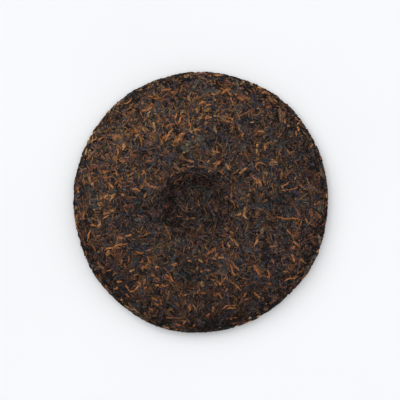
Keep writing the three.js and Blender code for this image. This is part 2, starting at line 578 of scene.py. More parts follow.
@dataclass(frozen=True)
class CoreFinish:
    """The tightly pressed dust and leaf behind the leaves that show."""

    name: str = "tea_core"
    stops: Stops = evenly((20, 16, 14), (36, 28, 24), (62, 46, 37))
    crumbs: Pattern = Pattern((900.0, 900.0, 900.0), 4.0)
    lumps: Pattern = Pattern((210.0, 210.0, 260.0), 2.0)
    crumb_share: float = 0.6  # of the crumbs in the colour, and the lumps have the rest
    specular: float = 0.1
    roughness: float = 0.9
    crumb_polish: float = 0.15  # taken off the roughness on a crumb
    relief: float = 0.8 * MM

    def material(self) -> bpy.types.Material:
        """Build the material from two sizes of crumb.

        Returns:
            The material.
        """
        surface = Surface(self.name, self.specular)
        place = surface.object_place()
        crumbs, lumps = surface.noise(place, self.crumbs), surface.noise(place, self.lumps)
        share = self.crumb_share
        colour = surface.ramp(crumbs * share + lumps * (1 - share), self.stops)
        normal = surface.bumped((crumbs + lumps) * 0.5, self.relief)
        return surface.dress(colour, self.roughness - crumbs * self.crumb_polish, normal)


@dataclass(frozen=True)
class FloorFinish:
    """A plain pale table top."""

    name: str = "pale_floor"
    stops: Stops = evenly((236, 237, 239), (242, 243, 245))
    patches: Pattern = Pattern((6.0, 6.0, 6.0), 2.0, 0.0, 1.0)
    specular: float = 0.1
    roughness: float = 0.7
    unevenness: float = 0.1  # of the roughness
    relief: float = 0.05 * MM

    def material(self) -> bpy.types.Material:
        """Build the material with a faint unevenness.

        Returns:
            The material.
        """
        surface = Surface(self.name, self.specular)
        patches = surface.noise(surface.object_place(), self.patches)
        colour, normal = surface.ramp(patches, self.stops), surface.bumped(patches, self.relief)
        return surface.dress(colour, self.roughness + patches * self.unevenness, normal)


@dataclass(frozen=True)
class LeafTemplate:
    """One closed spindle, that every leaf of a kind is a bent copy of."""

    along: np.ndarray  # of each vertex, from -1 at one tip to 1 at the other
    around: np.ndarray  # its angle round the spindle
    loops: np.ndarray  # the vertex of each corner of each face
    starts: np.ndarray  # each face's first corner
    corner_map: np.ndarray  # each corner's place on the spindle's unrolled skin, 0 to 1

    @classmethod
    def made(cls, sides: int, rings: int, rolled: bool) -> "LeafTemplate":
        """Make a spindle.

        Args:
            sides: Round it.
            rings: From tip to tip.
            rolled: Whether it has a ridge along its top, not a flat face.

        Returns:
            The template.
        """
        shape = bmesh.new()
        layer = shape.loops.layers.uv.new("skin")
        bmesh.ops.create_uvsphere(
            shape, u_segments=sides, v_segments=rings, radius=1.0, calc_uvs=True
        )
        shape.verts.index_update()
        places = np.array([v.co for v in shape.verts])
        corners = [corner for face in shape.faces for corner in face.loops]
        sizes = np.array([len(face.verts) for face in shape.faces])
        template = cls(
            along=1 - 2 * np.arccos(np.clip(places[:, 2], -1, 1)) / np.pi,
            around=np.arctan2(places[:, 1], places[:, 0]) + rolled * np.pi / sides,
            loops=np.array([corner.vert.index for corner in corners]),
            starts=np.concatenate([[0], np.cumsum(sizes)[:-1]]),
            corner_map=np.array([corner[layer].uv for corner in corners]),
        )
        shape.free()
        return template


@dataclass(frozen=True)
class Range:
    """A span that leaves differ over."""

    low: float
    high: float

    def draw(self, rng: np.random.Generator, count: int, crowd: float = 1.0) -> np.ndarray:
        """Draw so many values, which a power over 1 crowds towards the low end."""
        return self.low + (self.high - self.low) * rng.random(count) ** crowd


def mm(low: float, high: float) -> Range:
    """Give a span that is in millimetres."""
    return Range(low * MM, high * MM)


@dataclass(frozen=True)
class LeafKind:
    """One kind of leaf: how many, how large, how bent, how deep and of what colour."""

    name: str
    finish: LeafFinish
    count: int
    length: Range
    width: Range
    thickness: Range
    lift: Range  # of the middle over the pressed form
    tone: Range
    warmth: Range
    turn: float = 0.45  # typical bend from tip to tip, in radians
    hook: float = 0.35  # typical sharper bend of one end
    twist: float = 0.25  # typical turn about its own length
    hue_spread: float = 0.28  # how much its leaves differ between red and yellow
    droop: Range = mm(0.1, 0.6)  # of the tips below the middle
    groove: Range = Range(0.1, 0.8)
    ragged: Range = Range(0.1, 0.4)  # how torn its edges are
    bluntness: Range = Range(0.3, 0.9)
    rolled: bool = False
    sides: int = 6
    rings: int = 8
    surfacing: float = 0.0  # 1 comes up in the light patches of the tea, -1 in the dark ones
    blended: float = 1.0  # how far it takes on the blend's lightness and warmth, its painted light and shade included
    side: Side = Side.UPPER
    reach: tuple[float, float] = (0.0, 1.06)  # as shares of the way to the edge


@dataclass
class LeafBatch:
    """The leaves of one kind with their sizes drawn, one number for each leaf."""

    flat: np.ndarray
    heading: np.ndarray
    length: np.ndarray
    width: np.ndarray
    thickness: np.ndarray
    lift: np.ndarray
    tone: np.ndarray
    warmth: np.ndarray
    hue: np.ndarray  # from violet or red at 0 to olive or yellow at 1
    turn: np.ndarray
    hook: np.ndarray
    twist: np.ndarray
    droop: np.ndarray
    groove: np.ndarray
    ragged: np.ndarray
    bluntness: np.ndarray
    lopsided: np.ndarray  # how much blunter one end is than the other
    wobble: np.ndarray
    seed: np.ndarray


@dataclass(frozen=True)
class NotableLeaf:
    """A leaf that stands out on the cake, at its own place; a few black ones are painted shadow. In
    millimetres and degrees.
    """

    x: float
    y: float
    heading: float
    length: float
    width: float
    tone: float
    warmth: float
    turn: float = 0.0
    hook: float = 0.0


@dataclass(frozen=True)
class Drift:
    """A patch of the top where the leaves are made lighter or warmer: partly the tea's own patches,
    partly painted light and shade. In millimetres.
    """

    x: float
    y: float
    radius: float
    tone: float
    warmth: float = 0.0  # besides what comes with the tone


@dataclass
class TeaBlend:
    """How the tea's colour drifts over the cake, with painted light on the upper left and painted
    shade on the rim.
    """

    drifts: tuple[Drift, ...]
    painted_light_lean: float = 0.058  # painted light: how much lighter the upper left is than the middle, as if lit from there
    painted_light_from: float = 118.0  # the side that the painted light comes from, in degrees from the right
    rim: tuple[float, float] = (86 * MM, 98 * MM)  # where the rim's painted shade begins and is full
    # painted shade on the rim, darker where it curves away from the light
    rim_painted_shade: float = -0.03
    ripple: float = 0.025  # how uneven the blend is on its own
    ripple_sizes: tuple[float, float] = (14 * MM, 45 * MM)
    ripple_count: int = 24
    tone_share: float = 0.95  # of a drift in the tone of the leaves themselves
    warmth_share: float = 1.2
    base: float = 0.006  # added to all the tones
    radius: float = 100 * MM
    seed: int = 88

    def shift(self, side: Side, x: np.ndarray, y: np.ndarray) -> tuple[np.ndarray, np.ndarray]:
        """Give how much lighter and warmer the tea is made than usual, painted light and shade
        included.

        Args:
            side: The top has drifts of its own, and both sides have ripples.
            x: Places in the frame.
            y: The same.

        Returns:
            What is added to the tone, and to the warmth, at each place.
        """
        rng = np.random.default_rng(self.seed)
        tone = np.zeros(len(x))
        for _ in range(self.ripple_count):
            size = rng.uniform(*self.ripple_sizes)
            way, start = TAU * rng.random(2)
            tone += np.cos(TAU * (x * np.cos(way) + y * np.sin(way)) / size + start)
        tone *= self.ripple * np.sqrt(2 / self.ripple_count)
        tone += self.base
        warmth = self.warmth_share * tone
        if side is Side.LOWER:
            return tone, warmth
        for drift in self.drifts:
            away = np.hypot(x - drift.x * MM, y - drift.y * MM) / (drift.radius * MM)
            near = np.exp(-(away**2))
            tone += drift.tone * near
            warmth += (self.warmth_share * drift.tone + drift.warmth) * near
        # painted light: lighter towards the upper left
        way = radians(self.painted_light_from)
        tone += self.painted_light_lean * (x * np.cos(way) + y * np.sin(way)) / self.radius
        # painted shade on the rim
        tone += self.rim_painted_shade * smoothstep(np.hypot(x, y), *self.rim)
        return tone, warmth


@dataclass(frozen=True)
class Tear:
    """One wave in the torn edges of leaves."""

    count: float
    share: float
    offset: float  # between the two edges

    def at(self, along: np.ndarray, start: np.ndarray, edge: np.ndarray) -> np.ndarray:
        """Give the wave at each place along a leaf and on each side of it."""
        return self.share * np.sin(self.count * along + start + self.offset * np.sign(edge))


@dataclass
class LeafMaker:
    """Bends copies of a spindle into leaves and presses them into the cake."""

    form: PressedForm
    blend: TeaBlend
    proudest: float = 0.75 * MM  # no leaf stands further off the pressed form
    core_depth: float = 1.3 * MM  # what lies so deep is darkest: painted shade and dust
    jitter: float = 2.6 * MM  # off the even spiral that the leaves start from
    crowding: tuple[float, float] = (1.6, 1.5)  # towards the shortest and the narrowest leaves
    usual_hue: float = 0.54  # between violet or red, 0, and olive or yellow, 1
    lopsided: float = 0.6  # how much blunter one end typically is
    rim_from: float = 0.9  # the leaves beyond this share of the way to the edge run along it
    rim_stray: float = 0.8  # in radians
    rim_loose: float = 0.8  # how much further than elsewhere leaves stand out at the rim
    lip_band: tuple[float, float] = (0.004, 0.2)  # where leaves run along the dimple's lip
    lip_stray: float = 0.45  # of the rim's
    lip_side: float = 80.0  # the middle of the side where they do, in degrees
    lip_least: float = -0.35  # the cosine of how far round from there
    lip_reach: float = 1.2  # how far out they do, in radii of the dimple
    surfacing: float = 1.6 * MM  # how far a patch's lighter tone brings a kind to the surface
    surfacing_most: float = 0.12  # the tone past which it comes no further
    dimple_tone: float = 0.29  # what the dimple's leaves come closer to
    dimple_warmth: float = 0.45
    dimple_calm: float = 0.36  # by this share
    dimple_edge: float = 0.065  # from this depth on, as a share of the dimple's
    dimple_shade: float = 0.3  # painted shade: the dimple's leaves are as dark as if this deep
    lip_shade: tuple[float, float] = (0.03, 0.07)  # from where that painted shade begins to where it is full
    edge_shade: float = 0.62  # painted shade, as in the crevices: a leaf's edges are as dark as if this deep
    edge_thinness: int = 3  # a higher power keeps that closer to the edge
    hooked: tuple[float, float] = (0.1, 0.75)  # where along a leaf its hook begins and ends
    wiggle: float = 0.22  # in radians
    wiggle_count: float = 5.0  # in radians from the middle to a tip, as the counts below
    fullness: float = 2.6  # a higher power keeps a leaf wide for longer
    thickness_taper: float = 0.7  # of the taper in the width
    tears: tuple[Tear, ...] = (Tear(5.2, 1.0, 2.0), Tear(11.0, 0.7, -1.0))
    wobbles: int = 4  # how many random starts a leaf's waves draw on
    crumple_count: float = 4.0
    groove_from: float = 0.9  # how high on a leaf its groove is
    twist_start: float = 0.5  # how much of its twist a leaf has at its middle
    notable_hue: float = 1.15  # less the warmth: the warmest are orange, the others golden
    rim_variety: float = 0.9  # how much more than elsewhere the leaves' tones differ at the rim
    rim_variety_from: float = 0.82
    rim_middle: float = 0.56  # the share of the rim's leaves that are darker for it

    def drawn(self, kind: LeafKind, rng: np.random.Generator) -> LeafBatch:
        """Draw the sizes and places of a kind's leaves.

        Args:
            kind: The kind.
            rng: Where the random numbers come from.

        Returns:
            The leaves.
        """
        count = kind.count
        reach = tuple(share * self.form.edge_along for share in kind.reach)
        flat = self.form.spread(kind.side, count, reach, TAU * rng.random())
        flat += rng.uniform(-self.jitter, self.jitter, flat.shape)
        stray = rng.normal(0, self.rim_stray, count)
        along_rim = np.arctan2(flat[:, 1], flat[:, 0]) + np.pi / 2 + stray
        at_rim = self.form.outness(flat) > self.rim_from
        heading = np.where(at_rim, along_rim, TAU * rng.random(count))
        at_lip, along_lip = self.lip(kind.side, flat)
        heading = np.where(at_lip, along_lip + self.lip_stray * stray, heading)
        return LeafBatch(
            flat=flat,
            heading=heading,
            length=kind.length.draw(rng, count, self.crowding[0]),
            width=kind.width.draw(rng, count, self.crowding[1]),
            thickness=kind.thickness.draw(rng, count),
            lift=kind.lift.draw(rng, count),
            tone=kind.tone.draw(rng, count),
            warmth=kind.warmth.draw(rng, count),
            hue=rng.normal(self.usual_hue, kind.hue_spread, count),
            turn=rng.normal(0, kind.turn, count),
            hook=rng.normal(0, kind.hook, count),
            twist=rng.normal(0, kind.twist, count),
            droop=kind.droop.draw(rng, count),
            groove=kind.groove.draw(rng, count),
            ragged=kind.ragged.draw(rng, count),
            bluntness=kind.bluntness.draw(rng, count),
            lopsided=rng.normal(0, self.lopsided, count),
            wobble=TAU * rng.random((count, self.wobbles)),
            seed=rng.random(count),
        )

    def lip(self, side: Side, flat: np.ndarray) -> tuple[np.ndarray, np.ndarray]:
        """Find the leaves at the dimple's lip, and the way that it runs there.

        Args:
            side: The pole that the map is centred on.
            flat: Places on the map.

        Returns:
            Whether each place is at the lip, and the lip's direction there.
        """
        places = self.form.skin(side, flat)[:, :2] - np.array(self.form.centre)
        dx, dy = (places - np.array(self.form.dimple_centre)).T
        angle = np.arctan2(dy, dx)
        sunk = self.form.hollow(side, flat)
        low, high = self.lip_band
        facing = np.cos(angle - radians(self.lip_side)) > self.lip_least
        near = np.hypot(dx, dy) < self.lip_reach * self.form.dimple_radius
        return (sunk > low) & (sunk < high) & facing & near, angle + np.pi / 2

    def placed(
        self, kind: LeafKind, leaves: tuple[NotableLeaf, ...], rng: np.random.Generator
    ) -> LeafBatch:
        """Put leaves at their own places.

        Args:
            kind: What the leaves don't say themselves.
            leaves: The leaves.
            rng: Where the random numbers come from.

        Returns:
            The leaves.
        """
        batch = self.drawn(replace(kind, count=len(leaves)), rng)
        names = [field.name for field in fields(NotableLeaf)]
        told = {name: np.array([getattr(leaf, name) for leaf in leaves]) for name in names}
        batch.flat = self.form.flat_at(told["x"] * MM, told["y"] * MM)
        batch.length, batch.width = told["length"] * MM, told["width"] * MM
        batch.tone, batch.warmth = told["tone"], told["warmth"]
        batch.hue = self.notable_hue - batch.warmth
        for name in ("heading", "turn", "hook"):
            setattr(batch, name, np.radians(told[name]))
        return batch

    def centre_line(
        self, leaves: LeafBatch, along: np.ndarray
    ) -> tuple[np.ndarray, np.ndarray, np.ndarray]:
        """Bend each leaf's middle line in its own plane.

        Args:
            leaves: The leaves.
            along: The places along a leaf, from -1 to 1, in order.

        Returns:
            The line's two coordinates and its direction, each with a row for a leaf.
        """
        steps = along[None, :]
        bend = leaves.turn[:, None] * steps / 2
        bend = bend + leaves.hook[:, None] * smoothstep(steps, *self.hooked)
        bend = bend + self.wiggle * np.sin(self.wiggle_count * steps + leaves.wobble[:, :1])
        middle = (bend[:, 1:] + bend[:, :-1]) / 2
        run = np.diff(along)[None, :] * leaves.length[:, None] / 2
        first = np.zeros((len(run), 1))
        x = np.concatenate([first, np.cumsum(np.cos(middle) * run, 1)], 1)
        y = np.concatenate([first, np.cumsum(np.sin(middle) * run, 1)], 1)
        half = len(along) // 2
        return x - x[:, half : half + 1], y - y[:, half : half + 1], bend

    def local(
        self, leaves: LeafBatch, template: LeafTemplate
    ) -> tuple[np.ndarray, np.ndarray, np.ndarray, np.ndarray]:
        """Give each leaf's vertices in its own plane.

        Args:
            leaves: The leaves.
            template: The spindle that they are copies of.

        Returns:
            Their two coordinates in the plane, how far they are lifted off it, and the
            grain: their places on the straight leaf. Each has a row for a leaf.
        """
        stations, station = np.unique(template.along.round(6), return_inverse=True)
        line_x, line_y, bend = (a[:, station] for a in self.centre_line(leaves, stations))
        along = template.along[None, :]
        edge, high = np.cos(template.around)[None, :], np.sin(template.around)[None, :]
        waves = [leaves.wobble[:, i : i + 1] for i in range(leaves.wobble.shape[1])]
        bluntness = leaves.bluntness[:, None] * np.exp(leaves.lopsided[:, None] * along)
        taper = (1 - np.abs(along) ** self.fullness) ** bluntness
        torn = sum(tear.at(along, waves[i], edge) for i, tear in enumerate(self.tears, 1))
        across = edge * leaves.width[:, None] / 2 * taper * (1 + leaves.ragged[:, None] * torn)
        crumple = np.sin(self.crumple_count * along + waves[3]) * np.sign(edge)
        crease = np.where(high > self.groove_from, -1, crumple) * leaves.groove[:, None]
        upward = high * leaves.thickness[:, None] / 2 * taper**self.thickness_taper * (1 + crease)
        spin = leaves.twist[:, None] * (along + self.twist_start * np.sin(waves[2]))
        aside = across * np.cos(spin) - upward * np.sin(spin)
        raised = across * np.sin(spin) + upward * np.cos(spin)
        x = line_x - aside * np.sin(bend)
        y = line_y + aside * np.cos(bend)
        lift = leaves.lift[:, None] - leaves.droop[:, None] * along**2 + raised
        offset = leaves.seed[:, None]
        lengthways = along * leaves.length[:, None] / 2
        grain = np.stack([lengthways + offset, across + offset, upward], 2)
        return x, y, lift, grain

    def pressed(self, lift: np.ndarray, away: np.ndarray) -> np.ndarray:
        """Flatten what stands proud, as the cloth does, and less so at the rim.

        Args:
            lift: How far each vertex is off the skin, with a row for a leaf.
            away: Each leaf's distance from the pole, as a share of the way to the edge.

        Returns:
            The same once pressed.
        """
        loose = 1 + self.rim_loose * smoothstep(away, self.rim_from, 1)[:, None]
        most = self.proudest * loose
        return np.where(lift > 0, most * np.tanh(lift * loose / most), lift)

    def mesh(self, name: str, kind: LeafKind, leaves: LeafBatch) -> bpy.types.Mesh:
        """Make one joined mesh of all the leaves.

        Args:
            name: The mesh's name.
            kind: The kind that they are of.
            leaves: The leaves.

        Returns:
            The mesh, with its grain, tone, warmth, hue and depth, the painted shade, for the
            finish, and a map to bake on.
        """
        template = LeafTemplate.made(kind.sides, kind.rings, kind.rolled)
        count, each = len(leaves.lift), len(template.along)
        middles = self.form.skin(kind.side, leaves.flat)
        lighter, warmer = self.blend.shift(kind.side, middles[:, 0], middles[:, 1])
        x, y, lift, grain = self.local(leaves, template)
        shown = np.clip(lighter, -self.surfacing_most, self.surfacing_most)
        lift += (self.surfacing * kind.surfacing * shown)[:, None]
        steps = self.true_steps(kind.side, leaves.flat, polar(1.0, leaves.heading))
        flat = leaves.flat[:, None] + x[:, :, None] * steps[0][:, None]
        flat = flat + y[:, :, None] * steps[1][:, None]
        flat = flat.reshape(-1, 2)
        lift = self.pressed(lift, self.form.outness(leaves.flat)).ravel()
        places = self.form.lifted(kind.side, flat, lift)
        mesh = joined_mesh(name, places, template, count, smooth=kind.rolled)
        tone, warmth = self.coloured(kind, leaves, lighter, warmer)
        for key, values in (("tone", tone), ("warmth", warmth), ("hue", leaves.hue)):
            write_attribute(mesh, key, np.repeat(values, each))
        # depth: painted shade with dust where a leaf sinks below the form, and painted shade in the
        # dimple and along each leaf's edges
        edge = np.abs(np.cos(template.around)) ** self.edge_thinness
        shade = self.dimple_shade * smoothstep(self.form.hollow(kind.side, flat), *self.lip_shade)
        depth = -lift / self.core_depth + shade + self.edge_shade * np.tile(edge, count)
        write_attribute(mesh, "depth", np.clip(depth, 0, 1))
        write_attribute(mesh, "grain", grain.reshape(-1, 3))
        return mesh

    def coloured(
        self, kind: LeafKind, leaves: LeafBatch, lighter: np.ndarray, warmer: np.ndarray
    ) -> tuple[np.ndarray, np.ndarray]:
        """Give the leaves the colour of the place that they are pressed into, painted light and
        shade included.

        Args:
            kind: The kind.
            leaves: The leaves.
            lighter: How much lighter the tea is made than usual where each leaf is, painted light
                and shade included.
            warmer: How much warmer.

        Returns:
            Each leaf's tone and its warmth.
        """
        hollow = self.form.hollow(kind.side, leaves.flat)
        calm = self.dimple_calm * smoothstep(hollow, 0, self.dimple_edge)
        tone = leaves.tone + calm * (self.dimple_tone - leaves.tone)
        tone += self.blend.tone_share * kind.blended * lighter
        outer = smoothstep(self.form.outness(leaves.flat), self.rim_variety_from, 1)
        tone += self.rim_variety * (leaves.seed - self.rim_middle) * outer
        warmth = leaves.warmth + calm * (self.dimple_warmth - leaves.warmth)
        return tone, warmth + kind.blended * warmer

    def true_steps(
        self, side: Side, flat: np.ndarray, ahead: np.ndarray
    ) -> tuple[np.ndarray, np.ndarray]:
        """Find the steps on the flat map that keep a leaf's size where the skin is steep.

        Args:
            side: The pole that the map is centred on.
            flat: Each leaf's place on the map.
            ahead: Each leaf's direction on the map.

        Returns:
            The step on the map for a metre along each leaf, and for a metre across it.
        """
        first, second = self.form.slopes(side, flat)
        lengthways = first * ahead[:, :1] + second * ahead[:, 1:]
        lengthways /= np.linalg.norm(lengthways, axis=1, keepdims=True)
        up = np.cross(first, second)
        up /= np.linalg.norm(up, axis=1, keepdims=True)
        crossways = np.cross(up, lengthways)
        slopes = np.stack([first, second], 2)
        inverse = np.linalg.pinv(slopes)
        steps = [np.einsum("nij,nj->ni", inverse, way) for way in (lengthways, crossways)]
        return steps[0], steps[1]


def joined_mesh(
    name: str, places: np.ndarray, template: LeafTemplate, count: int, smooth: bool
) -> bpy.types.Mesh:
    """Join copies of a spindle into one mesh, each with its own cell of the bake map.

    Args:
        name: The mesh's name.
        places: The vertices of all the copies.
        template: The spindle.
        count: How many copies.
        smooth: Whether they are rounded, not crumpled.

    Returns:
        The mesh.
    """
    each, corners = len(template.along), len(template.loops)
    copies = np.arange(count)[:, None]
    loops = (template.loops[None, :] + copies * each).ravel()
    starts = (template.starts[None, :] + copies * corners).ravel()
    mesh = bpy.data.meshes.new(name)
    mesh.vertices.add(len(places))
    mesh.vertices.foreach_set("co", places.astype(np.float32).ravel())
    mesh.loops.add(len(loops))
    mesh.loops.foreach_set("vertex_index", loops.astype(np.int32))
    mesh.polygons.add(len(starts))
    mesh.polygons.foreach_set("loop_start", starts.astype(np.int32))
    mesh.update(calc_edges=True)
    mesh.polygons.foreach_set("use_smooth", np.full(len(starts), smooth))
    cells = int(np.ceil(np.sqrt(count)))
    cell = np.stack([copies[:, 0] % cells, copies[:, 0] // cells], 1)
    inner = CELL_MARGIN + (1 - 2 * CELL_MARGIN) * template.corner_map
    bake_map = (cell[:, None] + inner[None]) / cells
    layer = mesh.uv_layers.new(name="OFBake")
    layer.uv.foreach_set("vector", bake_map.astype(np.float32).ravel())
    return mesh


def write_attribute(mesh: bpy.types.Mesh, name: str, values: np.ndarray) -> None:
    """Write one value for each vertex.

    Args:
        mesh: The mesh.
        name: The attribute's name.
        values: One number or one vector for each vertex.
    """
    kind, part = ("FLOAT", "value") if values.ndim == 1 else ("FLOAT_VECTOR", "vector")
    layer = mesh.attributes.new(name, kind, "POINT")
    layer.data.foreach_set(part, values.astype(np.float32).ravel())


def add_piece(mesh: bpy.types.Mesh, material: bpy.types.Material) -> bpy.types.Object:
    """Put a finished mesh into the scene as a piece of the cake.

    Args:
        mesh: The mesh, already in its place.
        material: Its finish.

    Returns:
        The piece.
    """
    mesh.materials.append(material)
    piece = bpy.data.objects.new(mesh.name, mesh)
    bpy.context.scene.collection.objects.link(piece)
    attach(piece, "root")
    LOG.info("%s: %d faces", piece.name, len(mesh.polygons))
    return piece


@dataclass
class PressedCore:
    """The tightly pressed inside, which shows in the gaps between the leaves."""

    form: PressedForm
    finish: CoreFinish = CoreFinish()
    depth: float = 1.0 * MM
    unevenness: float = 0.35 * MM
    lumps: tuple[float, float, float] = (170.0, 190.0, 150.0)  # in radians over the ball
    lump_starts: tuple[float, float, float] = (0.0, 2.0, 0.0)
    detail: int = 7

    def build(self) -> bpy.types.Object:
        """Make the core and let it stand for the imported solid.

        Returns:
            The core.
        """
        shape = bmesh.new()
        bmesh.ops.create_icosphere(shape, subdivisions=self.detail, radius=1.0)
        ball = np.array([v.co for v in shape.verts])
        for vertex, place in zip(shape.verts, self.places(ball), strict=True):
            vertex.co = place
        for face in shape.faces:
            face.smooth = True
        bmesh.ops.recalc_face_normals(shape, faces=shape.faces)
        mesh = bpy.data.meshes.new("tea_core")
        shape.to_mesh(mesh)
        shape.free()
        piece = add_piece(mesh, self.finish.material())
        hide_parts("tea_cake")
        return piece

    def places(self, ball: np.ndarray) -> np.ndarray:
        """Lay a ball's skin onto the form, area for area.

        Args:
            ball: Places on a ball of radius 1.

        Returns:
            Where each goes.
        """
        angle = np.arctan2(ball[:, 1], ball[:, 0])
        area = (1 - ball[:, 2]) / 2 * self.form.areas[-1]
        along = np.interp(area, self.form.areas, self.form.alongs)
        upper = along <= self.form.edge_along
        lumps = np.sin(np.array(self.lumps) * ball + np.array(self.lump_starts)).mean(1)
        lift = self.unevenness * lumps - self.depth
        places = np.empty_like(ball)
        for side, chosen in ((Side.UPPER, upper), (Side.LOWER, ~upper)):
            reach = along if side is Side.UPPER else self.form.length - along
            flat = polar(reach, angle)[chosen]
            places[chosen] = self.form.lifted(side, flat, lift[chosen])
        return places


@dataclass
class LeafCover:
    """All the leaves, kind by kind."""

    maker: LeafMaker
    kinds: tuple[LeafKind, ...]
    notable_kind: LeafKind
    notable: tuple[NotableLeaf, ...]
    seed: int = 2573

    def build(self) -> None:
        """Make one piece for each kind, and one of the leaves that stand out."""
        for number, kind in enumerate(self.kinds):
            rng = np.random.default_rng([self.seed, number])
            mesh = self.maker.mesh(kind.name, kind, self.maker.drawn(kind, rng))
            add_piece(mesh, kind.finish.material())
        kind = self.notable_kind
        leaves = self.maker.placed(kind, self.notable, np.random.default_rng(self.seed))
        add_piece(self.maker.mesh(kind.name, kind, leaves), kind.finish.material())


@dataclass(frozen=True)
class Lamp:
    """A large soft lamp, far enough off to light evenly."""

    name: str
    strength: float  # in watts on a square metre that faces it
    height: float  # over the horizon, in degrees
    direction: float  # round the cake, in degrees from its right
    spread: float  # how wide it looks from the cake, in degrees

    def build(self) -> None:
        """Hang the lamp."""
        data = bpy.data.lights.new(self.name, "SUN")
        data.energy = self.strength
        data.angle = radians(self.spread)
        lamp = bpy.data.objects.new(self.name, data)
        lamp.rotation_euler = Euler((0.0, radians(90 - self.height), radians(self.direction)))
        bpy.context.scene.collection.objects.link(lamp)


@dataclass
class Studio:
    """A pale floor, a soft lamp on each side and a camera straight above."""

    floor_size: float = 4.0
    camera_height: float = 1.2
    frame_width: float = 309.5 * MM  # what the picture shows across, at the cake's edge
    edge_height: float = 9.5 * MM
    photo_centre: tuple[float, float] = (201.1, 202.5)  # of the cake in the 400 pixel picture
    picture: float = 400.0
    sensor_width: float = 36.0  # in the millimetres that Blender's cameras take
    world_light: float = 0.38
    world_colour: Colour = (0.98, 0.99, 1.0)
    lamps: tuple[Lamp, ...] = (
        Lamp("top_lamp", 1.4, 84.0, 120.0, 50.0),
        Lamp("left_lamp", 0.8, 46.0, 138.0, 40.0),
        Lamp("right_lamp", 0.4, 44.0, 35.0, 40.0),
    )

    def build(self) -> None:
        """Build all of it."""
        self.floor()
        self.camera()
        for lamp in self.lamps:
            lamp.build()
        self.world()

    def floor(self) -> None:
        """Lay the floor."""
        shape = bmesh.new()
        bmesh.ops.create_grid(shape, x_segments=8, y_segments=8, size=self.floor_size / 2)
        mesh = bpy.data.meshes.new("floor")
        shape.to_mesh(mesh)
        shape.free()
        mesh.materials.append(FloorFinish().material())
        floor = bpy.data.objects.new("floor", mesh)
        bpy.context.scene.collection.objects.link(floor)

    def camera(self) -> None:
        """Hang the camera over the cake, so that the cake is where the photograph has it."""
        data = bpy.data.cameras.new("camera")
        data.sensor_width = self.sensor_width
        away = self.camera_height - self.edge_height
        data.lens = self.sensor_width * away / self.frame_width
        camera = bpy.data.objects.new("camera", data)
        pixel = self.frame_width / self.picture
        aside = (self.picture / 2 - self.photo_centre[0]) * pixel
        ahead = (self.photo_centre[1] - self.picture / 2) * pixel
        camera.location = (aside, ahead, self.camera_height)
        bpy.context.scene.collection.objects.link(camera)
        bpy.context.scene.camera = camera

    def world(self) -> None:
        """Light everything a little from all round."""
        world = bpy.data.worlds.new("studio")
        bpy.context.scene.world = world
        world.use_nodes = True
        background = world.node_tree.nodes["Background"]
        background.inputs["Color"].default_value = (*self.world_colour, 1.0)
        background.inputs["Strength"].default_value = self.world_light


DARK = LeafFinish("dark_leaf")
BROWN = LeafFinish("brown_leaf")
GOLDEN = LeafFinish("golden_leaf", streak_share=0.3, mottle_share=0.26)
NOTABLE_FINISH = LeafFinish("notable_leaf", streak_share=0.36, mottle_share=0.34)
BROAD = LeafFinish("broad_leaf", streak_share=0.42, mottle_share=0.36, warmth_share=0.9)
STEM = LeafFinish("stem", streak_share=0.3, mottle_share=0.16)

